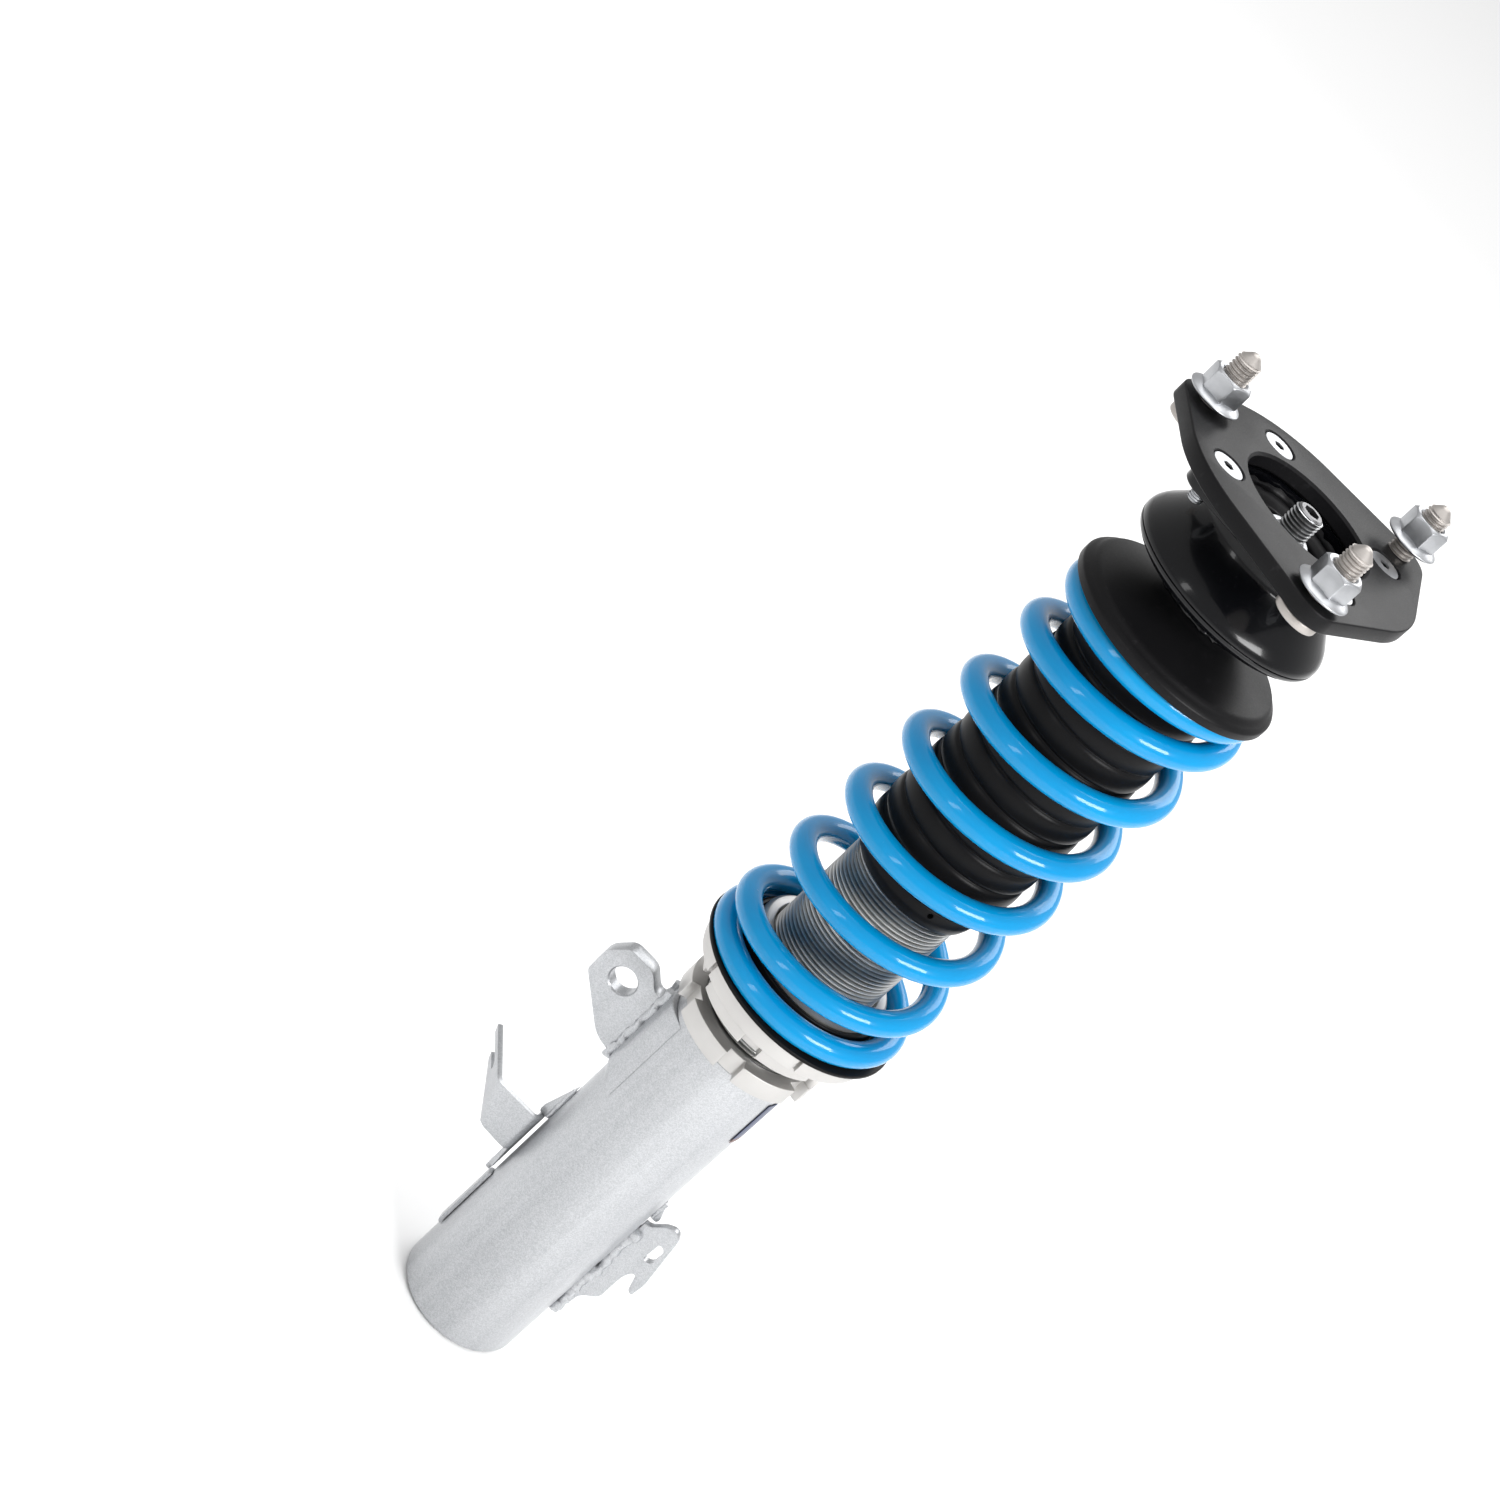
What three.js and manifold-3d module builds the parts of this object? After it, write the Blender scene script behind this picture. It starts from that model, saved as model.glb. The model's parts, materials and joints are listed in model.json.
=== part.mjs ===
// Front coilover strut: a threaded damper screwed into a knuckle sleeve, with a coil spring
// between an adjustable lower perch and a swivelling upper seat, and a three-stud top mount.
// Millimetres. The origin is the centre of the sleeve's bottom face; +Z runs up the strut.

import * as THREE from 'three';
import { mergeVertices } from 'three/addons/utils/BufferGeometryUtils.js';
import Module from 'manifold-3d';

const wasm = await Module();
wasm.setup();

// ---------- driving dimensions ----------
const gap = 0.3;            // clearance kept between neighbouring pieces
const slip = 0.4;           // radial clearance of one turned piece inside another
const fine = 32;            // facets of a large turned piece
const coarse = 16;          // facets of a small turned piece
const pitch = 2;            // thread pitch of the damper body, its collar and its lock ring

const sleeveRadius = 28.5;
const sleeveWall = 3;
const sleeveHeight = 190.4;
const sleeveChamfer = 1.2;
const capThickness = 6;

const bodyRadius = 25.1;
const bodyWall = 3.1;
const bodyFootZ = 14;       // underside of the damper body inside the sleeve
const bodyAboveRing = 103.5; // damper body showing above the lock ring

const ringHeight = 8.8;
const ringRadius = 33.4;
const notchCount = 6;
const notchWidth = 8.7;
const notchDepth = 4;
const notchPhase = 214.5;   // degrees

const adjusterTravel = 6.5; // free thread between lock ring and spring collar
const skirtHeight = 10;
const flangeHeight = 8.3;
const flangeRadius = 41.4;
const flangeNotchCount = 5;
const flangeNotchWidth = 2.6;
const flangeNotchPhase = 226.5;
const hubRadius = 31;
const hubHeight = 16.5;     // pilot hub above the collar's flange

const isolatorThickness = 1.7;
const isolatorLipHeight = 9.2;
const isolatorLipWall = 2.2;

const wireDiameter = 10.6;
const coilInside = 34.5;    // inner radius of the coil
const endCoilInside = 33.4; // inner radius where the top coil ends inside its seat
const coilLength = 206.3;   // free length between the ground ends
const coilTurns = 7.825;
const coilStart = 130;      // degrees, where the lower end of the wire lies
const groundDepth = 0.3;    // how far the ends' wire centre lies inside the ground face
const closedTurns = 0.95;   // wire that lies against its neighbour at each end
const openingTurns = 0.3;   // turns over which the coil opens to its full pitch

const seatLipWall = 1;
const seatLipDrop = 1.4;    // how far the lip hangs below the top of the spring
const seatSheet = 2;
const seatShoulderInset = 2.9;
const seatShoulderRise = 5.3;
const seatNeckRadius = 16;
const seatNeckRise = 15;
const padThickness = 0.8;

const bootWall = 2;
const bootFoldPitch = 9.7;
const bootFoldDepth = 1.4;
const cuffHeight = 9.2;
const cuffRadius = 28.2;

const rodRadius = 10;
const rodStubRadius = 7;
const rodThreadRadius = 6;
const pistonDepth = 48;     // rod guide to the top of the piston's valve stack, strut extended
const separatorZ = 66;
const rodSocketWidth = 6;

const mountRadius = 41.8;   // widest radius of the mount's bowl
const bowlSheet = 2.5;
const bowlNeckRadius = 29.6;
const bowlHeight = 42.9;    // lower shell to the top of the flange
const mountFlange = 6.2;
const screwCircleRadius = 39.5;
const screwAngles = [35, 125, 215, 305];
const screwLobeRadius = 8;

const plateThickness = 6.5;
const plateDisc = { x: -1.5, y: 0, r: 53.2 };
const plateHoleRadius = 28;
const studSites = [
  { name: 'left', x: -51.5, y: 9.2, lobe: 11.2, nutLift: 2.2 },
  { name: 'rear', x: 34.4, y: 42.2, lobe: 12.3, nutLift: 6 },
  { name: 'front', x: 17.2, y: -53.2, lobe: 11.5, nutLift: 2.2 },
];
const studRadius = 5;
const studLength = 24.1;    // above the plate
const studHeadRadius = 9.1;
const studHeadHeight = 4;
const nutWidth = 15;
const nutHeight = 11;
const nutFlangeRadius = 11.2;
const screwRadius = 3;
const screwHeadRadius = 6.6;
const screwLength = 17.6;

const earThickness = 7.7;
const earHole = { x: -47.8, z: 169.5, r: 5.95 };
const bracketSheet = 2.3;
const hookSheet = 3.6;

// ---------- radii that follow from the dimensions above ----------
const coilRadius = coilInside + wireDiameter / 2;
const endCoilRadius = endCoilInside + wireDiameter / 2;
const isolatorRadius = coilInside + wireDiameter + 0.2;
const seatRadius = endCoilInside + wireDiameter + slip + seatLipWall;
const seatShoulderRadius = seatRadius - seatShoulderInset;
const bootRadius = endCoilInside - 1.8;

// ---------- heights that follow from the dimensions above ----------
const sleeveBore = sleeveRadius - sleeveWall;
const ringZ = sleeveHeight + gap;
const ringTop = ringZ + ringHeight;
const bodyTop = ringTop + bodyAboveRing;
const bodyBore = bodyRadius - bodyWall;
const collarZ = ringTop + adjusterTravel;
const flangeZ = collarZ + skirtHeight;
const flangeTop = flangeZ + flangeHeight;
const hubTop = flangeTop + hubHeight;
const isolatorZ = flangeTop + gap;
const coilZ = isolatorZ + isolatorThickness + gap;
const coilTop = coilZ + coilLength;
const padZ = coilTop + gap;
const seatZ = padZ + padThickness + gap;   // underside of the seat's spring face
const seatShoulderZ = coilTop + seatShoulderRise;
const seatNeckZ = coilTop + seatNeckRise;  // top of the seat's neck
const raceZ = seatNeckZ + gap;
const raceHeight = 2.8;
const raceRadius = 17.6;
const raceBore = rodRadius + 0.9;
const ballRadius = 1.5;
const ballCircleRadius = 14.2;
const ballCount = 12;
const ballZ = raceZ + raceHeight + gap + ballRadius;
const rodShoulderZ = ballZ + ballRadius;
const upperRaceZ = rodShoulderZ + gap;
const stubBore = rodStubRadius + slip;
const threadBore = rodThreadRadius + slip;
const sleeveTubeZ = upperRaceZ + raceHeight + gap;
const sleeveTubeHeight = 18.9;
const washerZ = sleeveTubeZ + sleeveTubeHeight + gap;
const washerThickness = 2.4;
const rodNutZ = washerZ + washerThickness + gap;
const rodNutHeight = 10;
const rodTopZ = rodNutZ + rodNutHeight + 11.1;
const bowlZ = coilTop + 16.7;
const flangeUndersideZ = bowlZ + bowlHeight - mountFlange;
const plateZ = bowlZ + bowlHeight + gap;
const plateTop = plateZ + plateThickness;

const finishes = {
  sleevePaint: { color: 0xccd0d4, roughness: 0.42, metalness: 0.55 },
  bareAluminium: { color: 0xd9d6d2, roughness: 0.38, metalness: 0.75 },
  zincBody: { color: 0xa9abab, roughness: 0.28, metalness: 1 },
  springBlue: { color: 0x0899dc, roughness: 0.22, metalness: 0 },
  satinBlack: { color: 0x1c1b1d, roughness: 0.5, metalness: 0.2 },
  glossBlack: { color: 0x0d0e11, roughness: 0.25, metalness: 0.2 },
  rubber: { color: 0x141416, roughness: 0.6, metalness: 0 },
  foam: { color: 0x2b2a28, roughness: 0.85, metalness: 0 },
  whiteZinc: { color: 0xc9ced2, roughness: 0.33, metalness: 0.9 },
  warmZinc: { color: 0xa29a92, roughness: 0.42, metalness: 0.85 },
  hardChrome: { color: 0xd2d4d6, roughness: 0.12, metalness: 1 },
  bearingSteel: { color: 0xb4b6b8, roughness: 0.2, metalness: 1 },
  shimSteel: { color: 0x8c8e92, roughness: 0.3, metalness: 1 },
  slideBand: { color: 0x5d3b22, roughness: 0.5, metalness: 0 },
  decalBlue: { color: 0x22345c, roughness: 0.4, metalness: 0 },
};

const strut = new THREE.Group();

// ---------- helpers ----------
function addPiece(name, geometry, finish) {
  const mesh = new THREE.Mesh(geometry, new THREE.MeshStandardMaterial(finishes[finish]));
  mesh.name = name;
  strut.add(mesh);
  return mesh;
}

function toSolid(geometry) {
  const bare = geometry.clone();
  bare.deleteAttribute('normal');
  bare.deleteAttribute('uv');
  const merged = mergeVertices(bare, 1e-4);
  const index = merged.index.array;
  const triangles = [];
  for (let i = 0; i < index.length; i += 3) {
    const [a, b, c] = [index[i], index[i + 1], index[i + 2]];
    if (a !== b && b !== c && c !== a) triangles.push(a, b, c);
  }
  return new wasm.Manifold(new wasm.Mesh({
    numProp: 3,
    vertProperties: Float32Array.from(merged.attributes.position.array),
    triVerts: Uint32Array.from(triangles),
  }));
}

function toGeometry(solid) {
  const mesh = solid.getMesh();
  const geometry = new THREE.BufferGeometry();
  geometry.setAttribute('position', new THREE.BufferAttribute(mesh.vertProperties, 3));
  geometry.setIndex(new THREE.BufferAttribute(mesh.triVerts, 1));
  return geometry;
}

function join(...geometries) {
  return toGeometry(geometries.map(toSolid).reduce((all, one) => all.add(one)));
}

function cut(geometry, ...tools) {
  return toGeometry(tools.map(toSolid).reduce((left, tool) => left.subtract(tool), toSolid(geometry)));
}

function common(geometry, ...others) {
  return toGeometry(others.map(toSolid).reduce((all, one) => all.intersect(one), toSolid(geometry)));
}

// A turned piece from [radius, height] points; a profile that starts on the axis also ends there.
function turned(profile, facets = fine) {
  const points = profile.map(([radius, z]) => new THREE.Vector2(radius, z));
  if (THREE.ShapeUtils.isClockWise(points)) points.reverse();
  while (points[0].x === 0 && points[points.length - 1].x !== 0) points.push(points.shift());
  if (points[0].x > 0 && points[points.length - 1].x === 0) points.unshift(points.pop());
  if (points[0].x > 0) points.push(points[0].clone());
  return new THREE.LatheGeometry(points, facets).rotateX(Math.PI / 2);
}

function ring(inner, outer, z, height, facets = fine) {
  return turned([[inner, z], [outer, z], [outer, z + height], [inner, z + height]], facets);
}

function rod(radius, z, height, facets = coarse) {
  return new THREE.CylinderGeometry(radius, radius, height, facets)
    .rotateX(Math.PI / 2)
    .translate(0, 0, z + height / 2);
}

function block(width, depth, height, x, y, z) {
  return new THREE.BoxGeometry(width, depth, height).translate(x, y, z);
}

function polar(radius, degrees) {
  const angle = THREE.MathUtils.degToRad(degrees);
  return { x: radius * Math.cos(angle), y: radius * Math.sin(angle) };
}

// A closed outline, always counter-clockwise so that its holes can run clockwise.
function outline(points) {
  const corners = points.map(([x, y]) => new THREE.Vector2(x, y));
  if (THREE.ShapeUtils.isClockWise(corners)) corners.reverse();
  return new THREE.Shape(corners);
}

function extruded(shape, z, height, curveSegments = 12) {
  return new THREE.ExtrudeGeometry(shape, { depth: height, bevelEnabled: false, curveSegments })
    .translate(0, 0, z);
}

// A plate drawn in the XZ plane and centred on y.
function uprightPlate(shape, thickness, y, curveSegments = 10) {
  return new THREE.ExtrudeGeometry(shape, { depth: thickness, bevelEnabled: false, curveSegments })
    .translate(0, 0, -thickness / 2)
    .rotateX(Math.PI / 2)
    .translate(0, y, 0);
}

// The tight outline round a set of circles.
function hullOfCircles(circles, steps = 60) {
  const points = circles.flatMap(({ x, y, r }) => Array.from({ length: steps }, (_, i) => {
    const { x: dx, y: dy } = polar(r, (360 * i) / steps);
    return [x + dx, y + dy];
  }));
  points.sort((a, b) => a[0] - b[0] || a[1] - b[1]);
  const turn = (o, a, b) => (a[0] - o[0]) * (b[1] - o[1]) - (a[1] - o[1]) * (b[0] - o[0]);
  const chain = (list) => list.reduce((hull, point) => {
    while (hull.length > 1 && turn(hull.at(-2), hull.at(-1), point) <= 0) hull.pop();
    hull.push(point);
    return hull;
  }, []);
  const lower = chain(points);
  const upper = chain([...points].reverse());
  return outline([...lower.slice(0, -1), ...upper.slice(0, -1)]);
}

// Cuts equally spaced notches into the outside of a ring.
function notched(geometry, { count, phase, width, depth, radius, z, height }) {
  const tools = Array.from({ length: count }, (_, i) => (
    block(2 * depth, width, height, radius, 0, z + height / 2)
      .rotateZ(THREE.MathUtils.degToRad(phase + (360 * i) / count))
  ));
  return cut(geometry, ...tools);
}

function hexPrism(width, z, height) {
  return new THREE.CylinderGeometry(width / Math.sqrt(3), width / Math.sqrt(3), height, 6)
    .rotateX(Math.PI / 2)
    .translate(0, 0, z + height / 2);
}

// A hexagon with its top corners chamfered and a plain hole.
function hexNut(width, height, z, bore) {
  const corner = width / Math.sqrt(3);
  const chamfer = turned([
    [0, z - 1], [corner + 1, z - 1], [corner + 1, z + height - 1.2], [width / 2 - 0.2, z + height], [0, z + height],
  ], coarse);
  return cut(common(hexPrism(width, z, height), chamfer), rod(bore, z - 1, height + 2));
}

// ---------- knuckle sleeve ----------
function sleeveTube() {
  return turned([
    [sleeveBore, 0],
    [sleeveRadius - sleeveChamfer, 0],
    [sleeveRadius, sleeveChamfer],
    [sleeveRadius, sleeveHeight],
    [sleeveBore, sleeveHeight],
  ]);
}

// A curved patch that lies on the sleeve, between two angles.
function sleevePatch(inner, outer, fromDegrees, toDegrees, z, height) {
  const from = THREE.MathUtils.degToRad(fromDegrees);
  const to = THREE.MathUtils.degToRad(toDegrees);
  const shape = new THREE.Shape();
  shape.absarc(0, 0, outer, from, to, false);
  shape.absarc(0, 0, inner, to, from, true);
  return extruded(shape, z, height, 10);
}

function linkEar() {
  const head = 13.4;
  const face = outline([
    [-30.6, 140.5], [-39.8, 141], [earHole.x - head, 161.5], [earHole.x - head, earHole.z + 4.6],
    [earHole.x - 6.6, earHole.z + head], [earHole.x + 5.4, earHole.z + head], [-34.2, 174.4],
    [-31.6, 175.2], [-30.6, 178],
  ]);
  const hole = new THREE.Path();
  hole.absarc(earHole.x, earHole.z, earHole.r, 0, 2 * Math.PI, true);
  face.holes.push(hole);
  const seat = sleeveRadius + slip;
  const foot = sleevePatch(seat, seat + 2.4, 168, 226, 137.5, 46.5);
  return join(uprightPlate(face, earThickness, 0), foot);
}

// The brake-hose bracket: a leg on the sleeve, a face to the front and a slotted arm folded back.
function hoseBracket() {
  const legX = -(sleeveRadius + slip + bracketSheet / 2);
  const faceY = -8 + bracketSheet / 2;
  const leg = new THREE.ExtrudeGeometry(outline([
    [-8, 61], [0.5, 61], [2, 54], [8, 54], [8, 92], [4, 95.5], [-8, 95.5],
  ]), { depth: bracketSheet, bevelEnabled: false })
    .translate(0, 0, -bracketSheet / 2)
    .applyMatrix4(new THREE.Matrix4().set(0, 0, 1, legX, 1, 0, 0, 0, 0, 1, 0, 0, 0, 0, 0, 1));
  const foldTop = new THREE.Vector3(-54.3, faceY, 95.5);
  const foldBottom = new THREE.Vector3(-46.4, faceY, 74);
  const face = uprightPlate(outline([
    [legX - bracketSheet / 2, 95.5], [foldTop.x, foldTop.z], [foldBottom.x, foldBottom.z],
    [legX - bracketSheet / 2 - 0.4, 73.6], [legX + bracketSheet / 2, 73.6], [legX + bracketSheet / 2, 95.5],
  ]), bracketSheet, faceY);
  const down = foldBottom.clone().sub(foldTop).normalize();
  const level = new THREE.Vector3(down.z, 0, -down.x);
  const along = level.multiplyScalar(0.42).add(new THREE.Vector3(0, 0.908, 0)).normalize();
  const out = new THREE.Vector3().crossVectors(along, down);
  const arm = new THREE.ExtrudeGeometry(outline([
    [-1, 0], [40, 0], [40, 4.2], [20, 4.2], [18, 6.4], [20, 8.7], [32, 8.7], [32, 13], [-1, 22.9],
  ]), { depth: bracketSheet, bevelEnabled: false })
    .translate(0, 0, -bracketSheet / 2)
    .applyMatrix4(new THREE.Matrix4().makeBasis(along, down, out).setPosition(foldTop));
  return join(leg, face, arm);
}

// The sensor-lead bracket: a flat plate with a curved slot and a hook that opens downwards.
function hookBracket() {
  const root = sleeveRadius + slip;
  const plate = outline([
    [root, 30], [32.6, 38], [32.9, 45], [39.3, 51.5], [39.1, 60], [39.6, 68.5], [41.9, 73.4], [44.8, 64],
    [46.2, 63.2], [47.6, 64.6], [47.9, 71.3], [45.6, 88], [43.8, 99.5], [42.6, 101.6], [40.5, 102.2],
    [36.3, 100.3], [31.4, 94.2], [root, 94.2],
  ]);
  const slot = new THREE.Path();
  slot.absarc(41.3, 89.6, 2, Math.PI - 0.28, -0.28, true);
  slot.absarc(39.3, 82.6, 2, -0.28, Math.PI - 0.28, true);
  plate.holes.push(slot);
  return uprightPlate(plate, hookSheet, 0);
}

function stopFin(side, height, reach) {
  const root = sleeveRadius + slip;
  const z = 95.6;
  return uprightPlate(outline([
    [root, z], [root + reach, z], [root + reach + 0.6, z + 2], [root, z + height],
  ]), 3, 0).rotateZ(side);
}

function makeSleeve() {
  addPiece('sleeve_tube', sleeveTube(), 'sleevePaint');
  addPiece('sleeve_base_cap', rod(sleeveBore - slip, 0, capThickness, fine), 'sleevePaint');
  addPiece('link_ear', linkEar(), 'sleevePaint');
  addPiece('hose_bracket', hoseBracket(), 'sleevePaint');
  addPiece('hook_bracket', hookBracket(), 'sleevePaint');
  addPiece('stop_fin_left', stopFin(Math.PI, 22, 4.4), 'sleevePaint');
  addPiece('stop_fin_right', stopFin(0.09, 12, 3.2), 'sleevePaint');
  const seat = sleeveRadius + slip;
  addPiece('locating_rib', sleevePatch(seat, seat + 1.6, 184, 192, 23, 37), 'sleevePaint');
  addPiece('info_band', sleevePatch(seat, seat + 0.3, -24, 58, 157, 25), 'decalBlue');
}

// ---------- lock ring and spring collar ----------
function makeAdjusters() {
  const bore = bodyRadius + slip;
  const ringBody = turned([
    [bore, ringZ], [ringRadius - 0.4, ringZ], [ringRadius, ringZ + 0.4], [ringRadius, ringTop - 0.6],
    [ringRadius - 0.6, ringTop], [bore + 0.8, ringTop], [bore, ringTop - 0.8],
  ]);
  const castellations = { count: notchCount, phase: notchPhase, width: notchWidth, depth: notchDepth };
  addPiece('sleeve_lock_ring', notched(ringBody, {
    ...castellations, radius: ringRadius, z: ringZ - 1, height: ringHeight + 2,
  }), 'bareAluminium');
  const collarBody = turned([
    [bore, collarZ], [ringRadius, collarZ], [ringRadius, flangeZ], [flangeRadius, flangeZ + 1.2],
    [flangeRadius, flangeTop], [hubRadius, flangeTop], [hubRadius, hubTop - 1.5],
    [hubRadius - 1.5, hubTop], [bore + 0.8, hubTop], [bore, hubTop - 0.8],
  ]);
  const skirted = notched(collarBody, {
    ...castellations, radius: ringRadius, z: collarZ - 1, height: skirtHeight - 1,
  });
  addPiece('spring_collar', notched(skirted, {
    count: flangeNotchCount, phase: flangeNotchPhase, width: flangeNotchWidth, depth: 1.8,
    radius: flangeRadius, z: flangeZ - 1, height: flangeHeight + 2,
  }), 'bareAluminium');
  const lipBore = hubRadius + slip;
  addPiece('lower_isolator', turned([
    [lipBore, isolatorZ], [isolatorRadius, isolatorZ], [isolatorRadius, isolatorZ + isolatorThickness],
    [lipBore + isolatorLipWall, isolatorZ + isolatorThickness],
    [lipBore + isolatorLipWall, isolatorZ + isolatorThickness + isolatorLipHeight],
    [lipBore, isolatorZ + isolatorThickness + isolatorLipHeight],
  ]), 'rubber');
}

// ---------- coil spring ----------
// Rise of the wire above an end after a number of turns: it climbs one wire per turn while it lies
// against its neighbour, then opens smoothly to the full pitch.
function riseFromEnd(turns, fullPitch) {
  const closedPitch = wireDiameter + gap;
  const t = THREE.MathUtils.clamp((turns - closedTurns) / openingTurns, 0, 1);
  const opened = openingTurns * (t ** 3 - t ** 4 / 2) + Math.max(0, turns - closedTurns - openingTurns);
  return closedPitch * turns + (fullPitch - closedPitch) * opened;
}

class CoilPath extends THREE.Curve {
  constructor() {
    super();
    this.bottom = coilZ + groundDepth;
    this.top = coilTop - groundDepth;
    const closedPitch = wireDiameter + gap;
    const openTurns = coilTurns - 2 * (closedTurns + openingTurns) + openingTurns;
    this.pitch = closedPitch + (this.top - this.bottom - closedPitch * coilTurns) / openTurns;
  }

  getPoint(t, target = new THREE.Vector3()) {
    const turns = t * coilTurns;
    const left = coilTurns - turns;
    const z = turns < coilTurns / 2
      ? this.bottom + riseFromEnd(turns, this.pitch)
      : this.top - riseFromEnd(left, this.pitch);
    const radius = THREE.MathUtils.lerp(endCoilRadius, coilRadius, THREE.MathUtils.smoothstep(left, 0.5, 1.2));
    const { x, y } = polar(radius, coilStart + 360 * turns);
    return target.set(x, y, z);
  }
}

function coilSpring() {
  const section = new THREE.Shape();
  section.absarc(0, 0, wireDiameter / 2, 0, 2 * Math.PI, false);
  const wire = new THREE.ExtrudeGeometry(section, {
    steps: Math.round(20 * coilTurns), curveSegments: 6, bevelEnabled: false, extrudePath: new CoilPath(),
  });
  return common(wire, ring(20, 60, coilZ, coilLength));
}

// ---------- upper spring seat, boot and bump stop ----------
function makeUpperSeat() {
  const lipBore = seatRadius - seatLipWall;
  const lipZ = coilTop - seatLipDrop;
  const inner = seatShoulderRadius - seatSheet;
  const neckBore = rodRadius + 0.9;
  addPiece('upper_spring_seat', turned([
    [lipBore, lipZ], [seatRadius, lipZ], [seatRadius, seatZ + 1.2], [seatRadius - 1.3, seatZ + seatSheet],
    [seatShoulderRadius, seatShoulderZ], [seatNeckRadius, seatNeckZ - 1.4], [seatNeckRadius - 0.8, seatNeckZ],
    [neckBore, seatNeckZ], [neckBore, seatNeckZ - 4], [seatNeckRadius - 2, seatNeckZ - 4.2],
    [inner - 3, seatShoulderZ - 1.6], [inner - 4.6, seatZ], [lipBore, seatZ],
  ]), 'satinBlack');
  addPiece('upper_isolator', ring(bootRadius + 2.2, lipBore - 0.5, padZ, padThickness), 'rubber');
  addPiece('coil_spring', coilSpring(), 'springBlue');
  const bootZ = bodyTop - 1.7;
  const folds = Math.floor((seatZ - gap - bootZ) / bootFoldPitch);
  const step = (seatZ - gap - bootZ) / folds;
  const outside = Array.from({ length: folds }, (_, i) => [
    [bootRadius - bootFoldDepth, bootZ + step * i],
    [bootRadius, bootZ + step * (i + 0.25)],
    [bootRadius, bootZ + step * (i + 0.75)],
  ]).flat();
  addPiece('dust_boot', turned([
    ...outside, [bootRadius - bootFoldDepth, seatZ - gap], [bootRadius - bootFoldDepth - bootWall, seatZ - gap],
    [bootRadius - bootFoldDepth - bootWall, bootZ],
  ], coarse), 'rubber');
  const stopTop = seatNeckZ - 7.5;
  const stopLength = 42;
  addPiece('bump_stop', turned([
    [rodRadius + slip, stopTop - stopLength], [15, stopTop - stopLength], [18.5, stopTop - 38],
    [16.6, stopTop - 33], [20.5, stopTop - 26], [18.2, stopTop - 19], [21.5, stopTop - 11], [21.5, stopTop - 4],
    [18, stopTop], [rodRadius + slip, stopTop],
  ], coarse), 'foam');
}

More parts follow.
